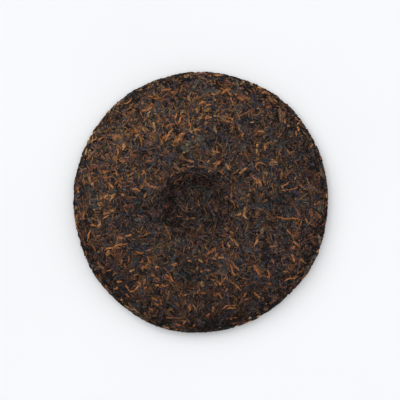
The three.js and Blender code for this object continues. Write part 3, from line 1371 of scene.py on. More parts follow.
KINDS: tuple[LeafKind, ...] = (
    LeafKind(
        "broad_leaves", BROAD, count=1000, length=mm(7, 18), width=mm(3.2, 8),
        thickness=mm(0.25, 0.5), lift=mm(-0.45, 0.3), tone=Range(0.18, 0.46),
        warmth=Range(-0.3, 0.9), turn=0.3, hook=0.15, twist=0.06, rings=9, surfacing=-1.0,
    ),
    LeafKind(
        "dark_leaves", DARK, count=1900, length=mm(4, 12), width=mm(1.5, 4),
        thickness=mm(0.25, 0.6), lift=mm(-0.35, 0.35), tone=Range(0.17, 0.42),
        warmth=Range(-0.4, 0.9), twist=0.12, rings=7, surfacing=-1.0,
    ),
    LeafKind(
        "dark_strands", DARK, count=1300, length=mm(3.5, 13), width=mm(0.6, 1.3),
        thickness=mm(0.4, 0.8), lift=mm(-0.35, 0.4), tone=Range(0.16, 0.4), warmth=Range(-0.4, 0.9),
        turn=0.7, hook=0.6, twist=0.8, rings=8, rolled=True, surfacing=-0.7,
    ),
    LeafKind(
        "dark_fragments", DARK, count=1500, length=mm(2, 5.5), width=mm(1.0, 2.6),
        thickness=mm(0.3, 0.6), lift=mm(-0.35, 0.4), tone=Range(0.18, 0.44),
        warmth=Range(-0.4, 1.0), rings=5, surfacing=-0.7,
    ),
    LeafKind(
        "brown_leaves", BROWN, count=1100, length=mm(3, 11), width=mm(1.2, 3.4),
        thickness=mm(0.3, 0.6), lift=mm(-0.35, 0.35), tone=Range(0.32, 0.54),
        warmth=Range(-0.1, 1.1), twist=0.15, rings=7, surfacing=0.4, hue_spread=0.34,
    ),
    LeafKind(
        "brown_strands", BROWN, count=950, length=mm(3.5, 13), width=mm(0.6, 1.2),
        thickness=mm(0.4, 0.8), lift=mm(-0.3, 0.4), tone=Range(0.36, 0.6), warmth=Range(0.2, 1.0),
        turn=0.8, hook=0.7, twist=0.8, rolled=True, surfacing=0.7, hue_spread=0.34,
    ),
    LeafKind(
        "russet_strands", GOLDEN, count=600, length=mm(3, 11), width=mm(0.6, 1.4),
        thickness=mm(0.4, 0.8), lift=mm(-0.3, 0.4), tone=Range(0.42, 0.66), warmth=Range(0.5, 1.1),
        turn=0.85, hook=0.75, twist=0.6, rolled=True, surfacing=1.0, hue_spread=0.35,
    ),
    LeafKind(
        "russet_fragments", GOLDEN, count=1050, length=mm(1.5, 4.8), width=mm(0.8, 2.2),
        thickness=mm(0.3, 0.6), lift=mm(-0.3, 0.35), tone=Range(0.4, 0.66), warmth=Range(0.3, 1.1),
        rings=5, surfacing=1.0, hue_spread=0.35,
    ),
    LeafKind(
        "golden_buds", GOLDEN, count=40, length=mm(2.5, 7), width=mm(1.0, 2.2),
        thickness=mm(0.5, 0.9), lift=mm(-0.2, 0.4), tone=Range(0.58, 0.78), warmth=Range(0.4, 1.0),
        rings=7, rolled=True, surfacing=1.0, hue_spread=0.35,
    ),
    LeafKind(
        "stems", STEM, count=120, length=mm(7, 20), width=mm(0.8, 1.3), thickness=mm(0.8, 1.1),
        lift=mm(-0.3, 0.35), tone=Range(0.35, 0.65), warmth=Range(0.4, 1.0), turn=0.3, hook=0.3,
        twist=0.2, groove=Range(0.0, 0.2), ragged=Range(0.0, 0.06), rings=9, rolled=True,
        hue_spread=0.35,
    ),
    LeafKind(
        "crumbs", BROWN, count=2300, length=mm(0.8, 2.6), width=mm(0.7, 1.7),
        thickness=mm(0.4, 0.8), lift=mm(-0.3, 0.4), tone=Range(0.17, 0.64), warmth=Range(-0.3, 1.1),
        sides=5, rings=4,
    ),
    LeafKind(
        "underside_dark_leaves", DARK, count=1500, length=mm(6, 17), width=mm(2.0, 6),
        thickness=mm(0.3, 0.6), lift=mm(-0.5, 0.3), tone=Range(0.12, 0.45), warmth=Range(-0.4, 0.9),
        twist=0.1, rings=7, side=Side.LOWER, reach=(0.0, 1.02),
    ),
    LeafKind(
        "underside_brown_leaves", BROWN, count=850, length=mm(3, 13), width=mm(1.0, 3.0),
        thickness=mm(0.3, 0.7), lift=mm(-0.35, 0.4), tone=Range(0.35, 0.75), warmth=Range(0.2, 1.0),
        rings=6, side=Side.LOWER, reach=(0.0, 1.02),
    ),
)

TOLD = Range(0.0, 0.0)  # what each notable leaf says itself
NOTABLE_KIND = LeafKind(
    "notable_leaves", NOTABLE_FINISH, count=0, length=TOLD, width=TOLD,
    thickness=mm(0.5, 0.8), lift=mm(0.35, 0.6), tone=TOLD, warmth=TOLD,
    twist=0.1, droop=mm(0.0, 0.25), groove=Range(0.1, 0.8), ragged=Range(0.2, 0.5), rings=9,
    blended=0.4,
)

# each row has a notable leaf's fields, in their order; they were placed on enlarged
# pictures, then moved by a formula for the camera's nearness, and the bright ones damped by one
NOTABLE: tuple[NotableLeaf, ...] = tuple(NotableLeaf(*leaf) for leaf in (
    # the upper left
    (-42.9, 89.6, 30, 6, 2.21, 0.82, 0.35), (-63.3, 76.1, 60, 3.5, 1.66, 0.74, 0.8),
    (-53.9, 73.8, 50, 8, 1.29, 0.68, 0.95), (-40.8, 71.1, 20, 10, 1.84, 0.7, 0.95, 60),
    (-39.6, 69.2, 30, 4, 1.2, 0.78, 0.5), (-59.2, 43.6, 72, 7.5, 2.02, 0.78, 0.55),
    (-77.5, 48.5, 40, 5.5, 1.66, 0.7, 0.9), (-84.5, 37.1, 45, 9, 1.2, 0.68, 0.95, -25),
    (-36.1, 58.7, -75, 6, 2.76, 0.74, 0.4), (-48.5, 51.6, 10, 6, 1.1, 0.73, 0.6),
    (-49, 54.6, 12, 5, 1.38, 0.69, 0.95), (-56.9, 34.6, 0, 4, 1.38, 0.76, 0.6),
    (-71.9, 36.5, 0, 3.2, 2.21, 0.72, 0.85), (-51.9, 36.4, -40, 5, 1.47, 0.69, 1),
    (-38.7, 81.3, -10, 5, 1.38, 0.69, 0.95), (-64, 50.4, 10, 9, 5, 0.57, 0.75),
    # the top
    (-24.5, 52.5, 62, 13, 1.66, 0.77, 0.75, -40), (-15.8, 50.5, 42, 13, 3.68, 0.68, 0.95),
    (-14.6, 69.4, 55, 4.6, 1.75, 0.83, 0.6), (-16.1, 63.6, 62, 9, 1.66, 0.69, 0.95),
    (-19, 66.6, 70, 6.5, 1.47, 0.69, 0.95), (-7.9, 54.7, -62, 5, 1.66, 0.76, 0.7),
    (-9.1, 60.7, -75, 8, 1.38, 0.68, 0.95), (-2.9, 55.6, 8, 7, 1.47, 0.7, 0.85),
    (-23.7, 59.7, 20, 8, 1.56, 0.69, 0.95, -120), (-26.3, 86.7, 8, 9, 1.56, 0.69, 0.95),
    (-21.3, 84.7, -20, 6, 1.47, 0.68, 0.95), (-9.4, 79.6, -60, 6, 1.84, 0.73, 0.65),
    (1.3, 76.9, 15, 7.5, 1.7, 0.71, 0.85, -120), (6, 74.9, 0, 5, 1.2, 0.68, 0.95),
    (5.8, 65.3, 0, 6, 3.2, 0.7, 0.85), (6.3, 64.8, 0, 2.2, 1, 0.3, 0.5),
    (15.7, 65.7, -3, 13, 2.6, 0.58, 0.45), (22.8, 64.2, -10, 5, 1.8, 0.68, 0.95),
    (21.8, 62, -8, 7, 1.66, 0.68, 0.9), (10.7, 55.7, -80, 9, 2.02, 0.64, 0.5),
    (9.4, 39.1, -70, 4.2, 2.39, 0.74, 0.6), (12.9, 38.5, -10, 4.5, 1.66, 0.69, 0.9),
    (-10.8, 42.5, 20, 9, 7, 0.42, 0.1), (-16.6, 39.8, -60, 6, 1.4, 0.04, 0.4),
    (18.4, 85.7, 40, 8, 2.02, 0.7, 1), (21.4, 84.2, -50, 7, 1.84, 0.67, 1),
    (16.9, 86.7, -30, 5, 1.4, 0.66, 1), (20.9, 86.7, 20, 5, 1.6, 0.66, 1),
    (10, 82.6, -30, 5, 1.47, 0.72, 0.7, 0, 90), (23.4, 77.7, -60, 6, 1.47, 0.69, 0.95, 60),
    (13.5, 97.7, 4, 8, 1.47, 0.69, 0.9), (31.5, 51.5, 70, 4.5, 1.47, 0.72, 0.9),
    (29.1, 58.2, 90, 6, 1.29, 0.68, 0.9),
    # the upper right
    (38.6, 90.9, -60, 3.6, 1.66, 0.83, 0.55), (45.5, 88.1, 0, 4.5, 1.66, 0.72, 0.85),
    (50.9, 84.4, -5, 9, 2.39, 0.68, 0.8), (44.2, 72.2, 0, 3, 1.66, 0.76, 0.65),
    (39.2, 61.4, 0, 2.8, 1.47, 0.78, 0.5), (46.6, 54.3, -15, 6, 1.66, 0.7, 0.85),
    (42.9, 43.8, 80, 3, 2.02, 0.77, 0.65), (42.4, 39.4, 85, 4.4, 1.47, 0.81, 0.5),
    (48.9, 42.4, 90, 5, 1.84, 0.74, 0.65), (61.6, 66.4, -80, 13, 3.8, 0.55, 0.5),
    (63.5, 67.7, -60, 5.5, 2.02, 0.72, 0.85), (64.4, 62.4, -85, 4.5, 1.66, 0.69, 0.85),
    (59, 65.3, -82, 12, 1.6, 0, 0.4), (67.1, 59.1, 10, 3, 2.02, 0.76, 0.75),
    (74.8, 56.5, -62, 4.5, 1.66, 0.73, 0.9), (85.2, 43.9, 50, 5, 1.56, 0.7, 0.95),
    (66.9, 73.7, -45, 7, 1.47, 0.68, 0.95), (80.7, 52.1, -45, 9, 1.2, 0.52, 0.2),
    (67, 38.7, -55, 5, 1.47, 0.68, 0.95), (70.8, 67.1, 30, 3.6, 1.4, 0.7, 1),
    (73.3, 64.4, -45, 3.2, 1.6, 0.74, 0.9), (72.9, 53, -80, 4, 1.8, 0.64, 0.6),
    (64.4, 75.1, -60, 5, 1.4, 0.62, 1), (91.3, 36.2, -80, 3.4, 1.4, 0.7, 0.9),
    (80, 33.5, 30, 3, 1.6, 0.66, 0.9), (59.8, 76, -30, 5, 1.6, 0.02, 1),
    (37.9, 88.7, 30, 3.4, 1.6, 0, 0.4), (36.1, 84.8, -65, 7, 1.4, 0, 0.4),
    (66, 65.9, -85, 6, 1.6, 0, 0.4), (69.7, 64, 20, 4, 1.8, 0, 0.4),
    (70.1, 57.4, 10, 4.5, 1.6, 0.02, 0.4), (77.4, 53.5, -45, 6, 1.4, 0, 0.4),
    (80.2, 50.5, -50, 5, 1.4, 0, 0.4), (86.4, 47.2, -60, 4, 1.4, 0, 0.4),
    (84.1, 39.4, 10, 4, 1.8, 0.02, 0.4), (87.7, 37.6, -70, 5, 1.4, 0, 0.4),
    (55, 82.6, 20, 3, 1.4, 0, 0.6), (78.5, 54.3, -45, 8, 0.8, 0.5, 0.1),
    (82.3, 52.4, -45, 7, 0.8, 0.48, 0.1), (57.3, 78, -50, 6, 1, 0.58, 1),
    (52.2, 73.3, 10, 5, 1.4, 0.55, 0.8), (60.6, 51.4, 45, 5, 1.2, 0.62, 0.8),
    (53.2, 65.3, -30, 8, 1, 0.56, 0.6), (32.3, 80.2, 0, 9, 3.2, 0.58, 0.85),
    (36.2, 69.7, 30, 9, 1.2, 0.55, 0.7),
    # the left
    (-85.9, 18.6, -65, 8, 1.66, 0.74, 0.6), (-83.4, 13.5, -55, 4.4, 1.29, 0.82, 0.3),
    (-90.2, 15.7, -75, 6, 2.02, 0.7, 0.95), (-73.1, 24.1, 0, 5.5, 1.84, 0.7, 0.95),
    (-64.8, 22.6, -68, 5.8, 1.38, 0.76, 0.75), (-72.6, 19.1, -3, 4.8, 1.1, 0.74, 0.75),
    (-68.8, 12.7, -45, 5, 2.21, 0.73, 0.7), (-52.9, 22, 30, 4, 1.66, 0.73, 0.7),
    (-43, 22.8, -50, 5.5, 1.2, 0.69, 1), (-41, 14.4, -50, 9, 1.38, 0.69, 0.95),
    (-36, 11.8, -5, 9, 2.02, 0.68, 0.85), (-49.4, 10, -12, 8, 1.66, 0.72, 0.85),
    (-59.8, 5.7, 0, 3, 2.21, 0.78, 0.65), (-67.8, 4.5, 55, 7.5, 2.21, 0.77, 0.65),
    (-73.1, 5.2, 50, 5, 2.76, 0.72, 0.75), (-78.1, -1.7, -50, 3.8, 1.47, 0.74, 0.85),
    (-81.8, -5.4, 0, 2.2, 1.47, 0.82, 0.35), (-42.5, 5.7, 50, 4, 2.02, 0.72, 0.75, 0, 80),
    (-72.8, -8.2, 18, 6, 1.29, 0.7, 0.9), (-68.1, -6.2, -20, 3.6, 2.39, 0.74, 0.75),
    (-72.8, -11.1, 30, 6.5, 1.29, 0.7, 0.9), (-77.8, -16.1, 72, 5.5, 2.21, 0.77, 0.65),
    (-82.4, -17.3, 0, 5, 1.38, 0.67, 0.9), (-46.4, -10.4, -20, 5, 1.29, 0.67, 1),
    (-92.5, -25.1, -62, 5, 1.84, 0.76, 0.75), (-86.2, -24.1, 72, 12, 1.38, 0.68, 0.95, -20),
    (-55.3, -25.2, 8, 5.8, 1.84, 0.74, 0.9), (-61.4, -27, 0, 5.5, 2.94, 0.68, 0.85),
    (-48, -26, 35, 7, 1.01, 0.63, 0.5), (-94.6, 9.2, -75, 5.5, 1.47, 0.69, 0.9),
    (-90.2, -8.9, 80, 6, 1.56, 0.7, 0.9),
    # the dimple and round it
    # the first five are black leaves along the dimple's upper lip: painted shadow under it
    (-25.2, 17.1, 60, 5, 2, 0, 0.6), (-14.1, 22.8, 10, 4, 1.6, 0, 0.6),
    (-2, 25.2, -8, 10, 1.3, 0, 0.5), (6.5, 23.6, -14, 9, 1.4, 0, 0.4),
    (13, 20.6, -42, 6, 1.4, 0, 0.4), (-7.5, 27.6, 6, 7, 1.6, 0.56, 0.7),
    (1, 27.4, -8, 7, 1.6, 0.55, 0.6), (9, 25.6, -18, 7, 1.5, 0.57, 0.8),
    (-14.5, 26, 25, 6, 1.4, 0.55, 0.8), (16, 22.6, -40, 6, 1.5, 0.55, 0.7),
    (-21.5, 21.8, 45, 6, 1.4, 0.55, 0.8), (-27.5, 14.5, 62, 6, 1.4, 0.53, 0.7),
    # the black leaves on the next three lines darken the dimple's left wall: painted shade
    (-26.1, 4.7, 80, 7, 3, 0.02, 0.5), (-20.7, 3.2, 0, 5, 3, 0.04, 0.3),
    (-27.1, -8.6, 82, 10, 2.6, 0.04, 0.5), (-18.7, -17.3, 5, 6, 2.6, 0.02, 0.6),
    (6, 14.6, -80, 6, 2, 0.03, 0.5), (-4.4, 12.9, 2, 13, 3.4, 0.14, 0),
    (-17.3, 12.6, 5, 9, 3, 0.12, 0.4), (16.3, 3.7, -85, 9, 3, 0.2, 0),
    (-17.3, 18.1, 38, 12, 1.6, 0.6, 0.9, -15), (-8.4, 21.5, 5, 8, 1.5, 0.56, 1),
    (12.9, 11.6, 72, 9, 1.3, 0.5, 0.6), (15.8, 13.6, 68, 7, 1.2, 0.54, 0.8),
    (8.4, 7.2, 30, 6, 1, 0.52, 0.6), (-10.6, -2.7, 80, 7, 1.29, 0.65, 0.75),
    (-6.4, -2.7, 65, 6, 1.2, 0.65, 0.8), (-1.8, -1.2, -80, 6, 1.2, 0.67, 1),
    (3.5, -7.1, -70, 7, 1.6, 0.52, 0.8), (12, -5.7, -80, 5, 2.2, 0.58, 0.9),
    (-17, -10.8, -5, 4.2, 1.56, 0.72, 0.9), (-11.3, -12.5, 8, 6, 1.66, 0.72, 0.75),
    (-5.4, -12.1, -5, 4.4, 1.66, 0.67, 0.8), (0.7, -12.4, 42, 11.5, 0.83, 0.63, 0.5),
    (-17.6, -20.8, 0, 3.2, 2.02, 0.72, 0.9), (7, -21.5, 72, 6.5, 1.47, 0.72, 0.7),
    (19.3, -20.2, -15, 3.5, 1.66, 0.7, 0.85), (23.5, -22.8, -20, 3.2, 1.66, 0.69, 0.85),
    (19.8, 4.2, 0, 2.4, 1.84, 0.72, 0.9), (23.3, 5.7, 85, 5.5, 1.47, 0.69, 0.75),
    (24.7, -0.2, -50, 6, 1.29, 0.7, 0.95), (20.6, 27, -55, 6, 1.56, 0.75, 0.75),
    (12.4, 30.4, 12, 7, 2.58, 0.75, 0.75), (6.5, 24.3, 10, 4, 1.47, 0.7, 0.7),
    (-18.5, 26.5, -55, 9, 2.4, 0.58, 0.6), (-7.4, 31.7, -25, 5, 1.84, 0.76, 0.75),
    (5.5, 31.4, 60, 3, 1.66, 0.72, 0.7), (-39, 31.9, 15, 8, 1.47, 0.65, 0.9),
    (-33.1, -32.4, 43, 16, 1.4, 0.42, 0), (-30.1, -34.8, 45, 9, 1.2, 0.38, 0.1),
    (24.8, -29.4, -52, 12, 1.6, 0.6, 0.7, -15), (16.8, -33.8, -76, 9, 1.4, 0.6, 0.7, 20),
    (20.8, -40.8, -42, 6, 1.3, 0.56, 0.7),
    # the right
    # the black leaf after the golden one on the next line is its painted shadow
    (32.4, 24.8, 38, 8.5, 2.12, 0.8, 0.6), (35.9, 21.7, 38, 9, 2.2, 0.02, 0.3),
    (42.3, 29.5, 220, 15, 1.38, 0.7, 0.95, 240), (50, 22, -80, 3.8, 1.66, 0.81, 0.5),
    (55.5, 30.5, 10, 8, 4.6, 0.64, 0.55), (40.6, 18.6, -38, 6, 1.29, 0.69, 0.95),
    (44.5, 14.4, -60, 7, 3.68, 0.65, 0.85), (47.8, 18.6, -86, 14, 1.2, 0.59, 0.6),
    (64.9, 13.9, 36, 9, 1.29, 0.68, 0.95), (72.4, 19.1, 60, 3.6, 1.29, 0.79, 0.5),
    (68.4, 9.7, 10, 17, 1.29, 0.65, 0.75, 15), (49, 1.6, 20, 4, 1.38, 0.76, 0.75),
    (87.5, -1.7, 0, 2.2, 1.84, 0.74, 0.7), (82.2, 15.7, -62, 8, 1.2, 0.6, 0.8),
    (61.9, 1.8, 0, 9, 4, 0.18, 0), (68.9, -11.9, -5, 23, 1.47, 0.69, 1, 10),
    (73.1, -5.2, -60, 13, 1.29, 0.68, 0.85, -15), (75.4, -18.1, 64, 12, 1.01, 0.61, 0.85),
    (80.9, -14.1, -65, 5, 1.56, 0.7, 1), (66.9, -22.2, -55, 5, 1.29, 0.72, 0.75),
    (47, -21, 50, 6, 3.5, 0.57, 0.3), (33.2, -6.2, 82, 8, 2.12, 0.78, 0.5),
    (33.7, -11.1, -40, 4.5, 1.84, 0.85, 0.5), (29.2, -9.1, 20, 3.6, 1.56, 0.82, 0.5),
    (96.2, 4.8, -85, 3.2, 1.66, 0.78, 0.6), (94.1, 1.8, -88, 5.5, 1.29, 0.69, 0.9),
    # the lower left
    (-61.9, -32.1, 14, 15, 1.56, 0.7, 0.85, -25), (-71.4, -38.4, 70, 5.5, 2.94, 0.73, 0.7),
    (-70.9, -34.9, 20, 8, 1.47, 0.69, 0.9, -40), (-81.9, -35.3, -58, 5.5, 1.29, 0.72, 0.95),
    (-77, -49, -48, 10, 1.75, 0.7, 1), (-70.5, -51.9, 25, 7, 1.29, 0.68, 0.95, 50),
    (-66, -54.3, 30, 6, 1.1, 0.63, 0.7, -90), (-52.8, -51.8, 25, 5, 1.84, 0.82, 0.55),
    (-62.5, -60.6, 15, 5, 1.8, 0.73, 0.85), (-50.1, -66.2, 38, 10.5, 1.75, 0.72, 0.95, 50),
    (-56.6, -65.3, -60, 7.5, 1.47, 0.69, 0.95), (-61, -74.7, 0, 2.2, 1.66, 0.83, 0.5),
    (-46, -38.8, 0, 5, 1.38, 0.68, 1), (-68, -56.4, 20, 6, 3, 0.08, 0),
    (-43.1, -60.2, 80, 4, 1.8, 0.68, 0.9), (-42.4, -65, 45, 3.4, 1.6, 0.68, 1),
    (-47.1, -62.2, -75, 6, 1.6, 0.7, 0.9, 30), (-33.2, -63.5, 0, 4, 2, 0.72, 0.9),
    (-36.1, -56.2, -20, 5, 1.3, 0.68, 0.9), (-32.5, -58.7, -40, 4, 1.8, 0.68, 0.95),
    (-44.5, -49.1, 30, 3.6, 1.8, 0.68, 0.9), (-45.5, -44.8, 45, 4, 1.4, 0.65, 0.9),
    (-39.6, -44.8, -60, 8, 1.5, 0.68, 0.9), (-33.6, -49.5, 5, 4, 2.2, 0.76, 0.7),
    (-58, -48.8, -80, 5, 1.6, 0.66, 0.9), (-61.2, -44.8, 70, 4, 1.8, 0.66, 0.85),
    (-55.4, -42.8, 85, 4.5, 1.6, 0.64, 0.8), (-35.2, -74, -20, 5, 1.8, 0.68, 0.95),
    (-33.7, -78.2, -30, 5, 1.8, 0.66, 0.95), (-35.3, -86.8, 30, 4.5, 1.8, 0.66, 0.95),
    (-38.2, -82.1, -20, 4, 1.6, 0.63, 1), (-42.8, -85.9, -70, 4.5, 1.6, 0.66, 1),
    (-48.7, -75.8, 60, 4, 2, 0.6, 0.5), (-57.4, -79.9, -40, 3.6, 1.6, 0.72, 0.4),
    (-65.6, -65.9, 25, 4.5, 1.6, 0.66, 0.9), (-56.6, -71.3, -30, 5, 1.3, 0.66, 1),
    (-52.3, -82, -10, 8, 1.4, 0.58, 0.6), (-74.2, -60.5, -50, 8, 1.8, 0, 0.4),
    (-65.6, -61.4, -35, 5, 1.6, 0, 0.4), (-87.6, -37.1, -50, 6, 1.8, 0, 0.4),
    (-86.3, -50.2, -60, 5, 1.6, 0.02, 0.4), (-60.2, -71.4, 20, 4, 1.6, 0, 0.4),
    (-40.7, -77.7, 60, 4, 1.8, 0.02, 0.5), (-45.3, -82.3, 40, 4, 1.6, 0.02, 0.5),
    (-76.3, -66.1, -42, 6, 1.4, 0.6, 0.5), (-79.3, -57.6, -48, 6, 1.4, 0.62, 0.9),
    # the bottom
    (-0.5, -44.7, -45, 4.4, 1.84, 0.81, 0.5), (11.7, -39.5, 55, 3.4, 1.75, 0.79, 0.6),
    (10.2, -43, -20, 3.6, 1.56, 0.81, 0.6), (15.4, -42.1, 12, 5.5, 1.56, 0.81, 0.6, 30),
    (21.1, -32.9, -72, 5.5, 1.66, 0.79, 0.6), (27.2, -31.4, -60, 9, 1.66, 0.64, 0.65),
    (32.2, -42.8, -48, 9, 1.2, 0.02, 0.4), (26.3, -49.2, -50, 10, 1.38, 0.7, 0.95),
    (23.8, -52.2, -68, 12, 1.38, 0.65, 0.95, 15), (27.3, -63.6, -42, 14, 1.47, 0.63, 0.9, -15),
    (-20.2, -47.4, 10, 5.5, 2.39, 0.72, 0.9), (-26.2, -45.7, 25, 6, 1.3, 0.6, 0.6),
    (-21.5, -58.6, 100, 9, 1.2, 0.04, 0.5), (-25.2, -56.7, -35, 6.5, 1.3, 0.69, 0.95),
    (-22.5, -58.6, -62, 8, 1.3, 0.7, 0.95), (-28.7, -63.6, -5, 6, 1.66, 0.68, 0.9),
    (-4.4, -81.6, -62, 8, 1.38, 0.69, 0.75), (14.9, -72.1, -58, 7, 1.38, 0.69, 0.95),
    (-11.9, -70.6, 20, 6, 1.1, 0.61, 0.6, -50), (23.9, -81, 3, 8, 1.38, 0.72, 0.8),
    (21.4, -78.9, 15, 14, 1.29, 0.65, 0.9, -45), (27.5, -92.4, 8, 7, 1.66, 0.69, 0.9),
    (-17.4, -93.9, -30, 4.6, 1.47, 0.7, 0.9), (0.5, -62.1, 90, 5.5, 3, 0.59, 0.4),
    (0.7, -52.7, 0, 3, 2.21, 0.72, 0.9), (-8.4, -44.7, -15, 4, 1.47, 0.74, 0.85),
    (16.9, -59.6, 52, 8, 1.5, 0.67, 0.95), (11.4, -62.6, -45, 4.2, 1.6, 0.68, 0.95),
    (9.4, -59.1, -10, 4, 1.4, 0.64, 0.95), (14.4, -62.3, -55, 4, 1.5, 0.67, 1),
    (11.4, -70.4, 20, 5, 1.4, 0.65, 0.95), (19.4, -67.1, 80, 4, 1.3, 0.63, 0.9),
    (-1.9, -67.6, 60, 5, 1.4, 0.63, 0.9), (1.7, -69.1, -10, 4.5, 1.5, 0.65, 1),
    (-12.4, -75.6, 80, 4.5, 2, 0.63, 0.7), (-8.9, -80.1, 85, 6, 2.2, 0.66, 0.85),
    (9.5, -81.6, 80, 5.5, 2.4, 0.64, 0.9), (5.5, -86, 40, 4.5, 1.7, 0.64, 0.95),
    (25.4, -89.3, 0, 7, 3.2, 0.5, 0.9), (-12.9, -91.8, 55, 5, 1.5, 0.66, 1),
    (-25.9, -96.1, -15, 4.5, 1.5, 0.64, 1), (-5.4, -94.3, 60, 3, 1.6, 0.64, 1),
    (-20.3, -88.2, -3, 14, 1.3, 0.56, 1), (-28.2, -63.6, 10, 9, 1.4, 0.64, 0.9),
    (-25.2, -70.6, 78, 9, 1.6, 0.56, 0.6), (-30.7, -76.7, -70, 6, 1.4, 0.6, 1),
    (33.8, -70.7, 60, 5, 1.4, 0.64, 1), (4.5, -51.7, 0, 4, 1.6, 0.68, 0.8),
    (-2.9, -50, 60, 3, 2, 0.66, 0.6), (-11.9, -93.4, 0, 2.6, 1.6, 0, 0.4),
    (-28.3, -86.8, 40, 3.4, 1.6, 0, 0.4), (-32.8, -89.9, 0, 4, 2, 0.02, 0.4),
    (10, -90.7, 0, 7, 3.2, 0.04, 0.2), (2.5, -90.2, 0, 4, 2.6, 0.06, 0.2),
    (20.4, -91.3, 40, 4, 2.4, 0.04, 0.3), (-19.3, -83.7, -30, 5, 1.4, 0.04, 0.4),
    (-35.4, -93.1, -20, 5, 1.6, 0.02, 0.4),
    # the lower right
    (43.4, -53, -58, 12.5, 2.76, 0.67, 0.95), (55.3, -45.1, -62, 5, 1.84, 0.72, 0.85),
    (70.8, -42.7, -72, 7.5, 2.12, 0.7, 1), (77.8, -44.8, -50, 6, 1.38, 0.7, 0.95),
    (78.4, -51.3, 75, 5.5, 1.84, 0.72, 1), (70.2, -58.2, 14, 14, 1.56, 0.7, 1, -20),
    (71.6, -63, -5, 6, 2.94, 0.69, 1), (64.6, -53, 0, 4.5, 1.38, 0.69, 0.8),
    (52.1, -55.8, -85, 6.5, 2.02, 0.61, 0.9), (43.5, -71.7, -42, 7.5, 1.38, 0.73, 0.85, 25),
    (56, -33.2, 12, 6.5, 1.29, 0.68, 0.95), (42.1, -30.2, 58, 7.5, 1.56, 0.77, 0.65),
    (73.5, -32, -42, 8, 1.66, 0.7, 1), (70.5, -34.5, 20, 5, 1.66, 0.7, 1),
    (88.1, -31.6, 10, 5, 1.66, 0.7, 1, 0, -120), (89.6, -37.1, 50, 3, 1.84, 0.72, 0.95),
    (36.8, -91.7, 15, 7, 1.66, 0.69, 0.9),
))
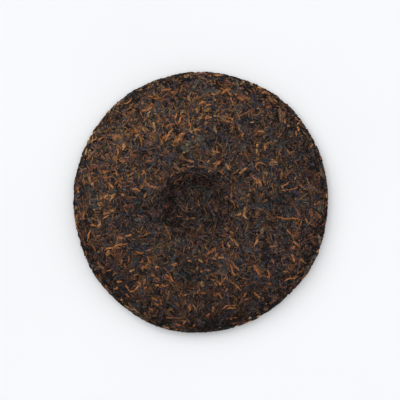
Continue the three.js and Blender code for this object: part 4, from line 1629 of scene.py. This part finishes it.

# each row has a drift's fields, in their order; they were chosen from blurred differences
# between photograph and render, then most were moved by the same formula
# the drifts hold the tea's own patches and painted light and shade: the darker ones along the
# dimple's upper wall and at the lower rim are painted shade
DRIFTS: tuple[Drift, ...] = tuple(Drift(*drift) for drift in (
    (1.5, 77.1, 14, 0.07), (-21.2, 54.2, 15, 0.09), (-60, 49.4, 14, 0.08), (-41.1, 72.2, 13, 0.06),
    (20.4, 67.1, 10, 0.05), (47.1, 45.3, 10, 0.08), (45, 15.6, 9, 0.06), (-69.9, 28.5, 14, 0.06),
    (-68.9, -31, 11, 0.07), (-49.1, -64.7, 11, 0.07), (-37.1, -46.8, 9, 0.05),
    (14.4, -41.8, 10, 0.06), (72.9, -23, 14, 0.07), (45.1, -53.7, 10, 0.06),
    (-16.3, -78.6, 12, 0.05), (-48.9, -8.1, 15, -0.08), (-34.1, 40.3, 10, -0.04),
    (63.1, 55.4, 13, -0.06), (72.9, 26.5, 14, -0.07), (58.9, 0.8, 11, -0.05),
    (35.1, -23, 10, -0.05), (58, -41.9, 10, -0.05), (-3.4, -55.6, 13, -0.05),
    (11.5, -90.7, 14, -0.08), (-36.3, -86.8, 12, -0.08), (51.2, -70.8, 13, -0.08),
    (17.4, 53.2, 11, -0.05), (-61.9, 24.5, 13, 0.05), (-50.9, 12.6, 8, 0.06), (-55, 46.3, 8, 0.05),
    (-86, 36.6, 14, 0.06), (-92, 10.7, 14, 0.06), (11.5, 94.3, 20, 0.05), (5.5, -97, 16, -0.12),
    (-68.8, -2.2, 8, 0.08), (-48, 52.3, 7, 0.05), (-34.2, 72.2, 7, 0.05), (82.9, -15.1, 7, -0.07),
    (79.3, -55.1, 12, 0.04), (-64.3, -73, 14, -0.05), (-84.1, -47.1, 10, -0.05),
    (49.1, 57.3, 6, -0.12), (51.2, 70.3, 7, 0.09), (63, 34.5, 8, 0.07), (47, 25.5, 5, -0.08),
    (31.2, -7.1, 5, 0.08), (-54.9, 35.4, 4, -0.1), (-50.1, -68.7, 7, -0.08),
    (-30.2, -74.6, 6, -0.06), (-75.2, 62.6, 9, 0.05), (-76.2, -61.1, 8, -0.08),
    (87.1, 36.6, 10, -0.05), (63.4, -73, 9, 0.07), (81.2, -49, 8, 0.04), (-94, -13.2, 9, 0.06),
    (-53, 48.3, 4, 0.1), (-9.4, 33.4, 5, 0.08), (-18.3, 58.2, 4, 0.07), (49.1, 48.3, 6, 0.06),
    (-0.5, -21, 6, 0.03), (-77.8, 22.6, 6, -0.07), (-92.1, 28.7, 6, -0.06), (-50, -44.8, 7, -0.05),
    (74.9, -19.1, 6, -0.06), (23.4, 78.2, 7, -0.06), (69.3, -65, 9, 0.05), (-9.4, -55.7, 7, 0.06),
    (-38, -28.9, 12, 0.03), (-0.5, -38.8, 10, 0.03), (25.3, -62.6, 10, 0.03), (23.3, -23, 10, 0.05),
    (75.2, -57, 9, 0.04), (-20.2, 30.4, 7, 0.04), (9.4, 29.4, 7, 0.05), (-27.1, 3.7, 4, -0.1),
    (-24.2, 12.6, 5, -0.1), (-29.1, -16, 7, -0.12), (1.5, 20.5, 5, -0.05), (10.4, 17.6, 5, -0.1),
    (-12.3, 10.6, 9, -0.03), (-22.2, -3.2, 8, -0.03), (5.5, 14.6, 7, -0.03), (26.2, 15.6, 6, 0.08),
    (24.3, 2.7, 5, -0.1), (-45, 1.8, 6, -0.08), (-46, -21, 5, 0.08), (-5.4, -34.8, 7, 0.07),
    (11.4, -21, 6, 0.06), (40.1, 8.7, 6, 0.08), (40.1, -25, 4, 0.08), (-36, 19.5, 5, -0.06),
    (-0.5, -93.8, 22, -0.02, 0.3), (-35.3, -83.8, 20, -0.02, 0.25), (-62.1, -66.9, 18, -0.02, 0.28),
    (-78, -47, 14, -0.01, 0.2), (29.4, -86.8, 18, -0.01, 0.2), (-15.3, -58.6, 18, 0, 0.08),
    (14.4, -66.6, 16, 0, 0.12), (-60.2, 76.5, 14, 0.01, -0.22), (-45, 42.3, 16, 0.01, -0.2),
    (-5.4, 60.2, 16, 0.01, -0.18), (14.4, 75.1, 10, 0.01, -0.12), (45.1, 60.2, 12, 0, -0.15),
    (-74.9, 40.5, 14, 0.01, -0.15), (59, -43.8, 12, 0, -0.18), (74, 45.5, 10, 0, -0.15),
    (58.9, 15.6, 10, 0, -0.1), (29.2, 32.4, 9, 0, -0.15), (-0.5, 16.6, 8, 0, 0.18),
    (-30.1, -43.8, 10, 0, 0.15), (14.4, 45.3, 10, 0, -0.12), (-90, -29.1, 10, 0, 0.12),
    (-45, -42, 12, -0.05), (-29, -64, 7, -0.07), (70, -36, 12, -0.04), (20, 92, 9, -0.08),
    (88, -44, 10, -0.07), (0, 98, 7, -0.05), (-13, 59, 5, -0.06), (-68, -82, 12, -0.06),
    (-40, -95, 10, -0.05), (-52, -46, 8, -0.03), (-94, -24, 9, 0.06), (-78, 60, 10, 0.05),
    (92, -26, 7, 0.08), (-69, -5, 6, 0.05), (5, 32, 5, -0.06), (24, -37, 4, 0.08),
    (90, 10, 9, 0.03), (68, 30, 8, 0.04),
))


def corners(box: tuple[Vector, Vector]) -> list[list[float]]:
    """Give a box's two corners as plain numbers."""
    return [[float(v) for v in corner] for corner in box]


def main() -> None:
    """Build the cake and its studio."""
    logging.basicConfig(level=logging.INFO, format="%(name)s %(message)s")
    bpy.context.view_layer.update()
    bpy.context.scene.view_settings.view_transform = "Standard"
    form = PressedForm()
    Studio(edge_height=form.edge_height).build()
    PressedCore(form).build()
    LeafCover(LeafMaker(form, TeaBlend(DRIFTS)), KINDS, NOTABLE_KIND, NOTABLE).build()


if __name__ == "__main__":
    main()
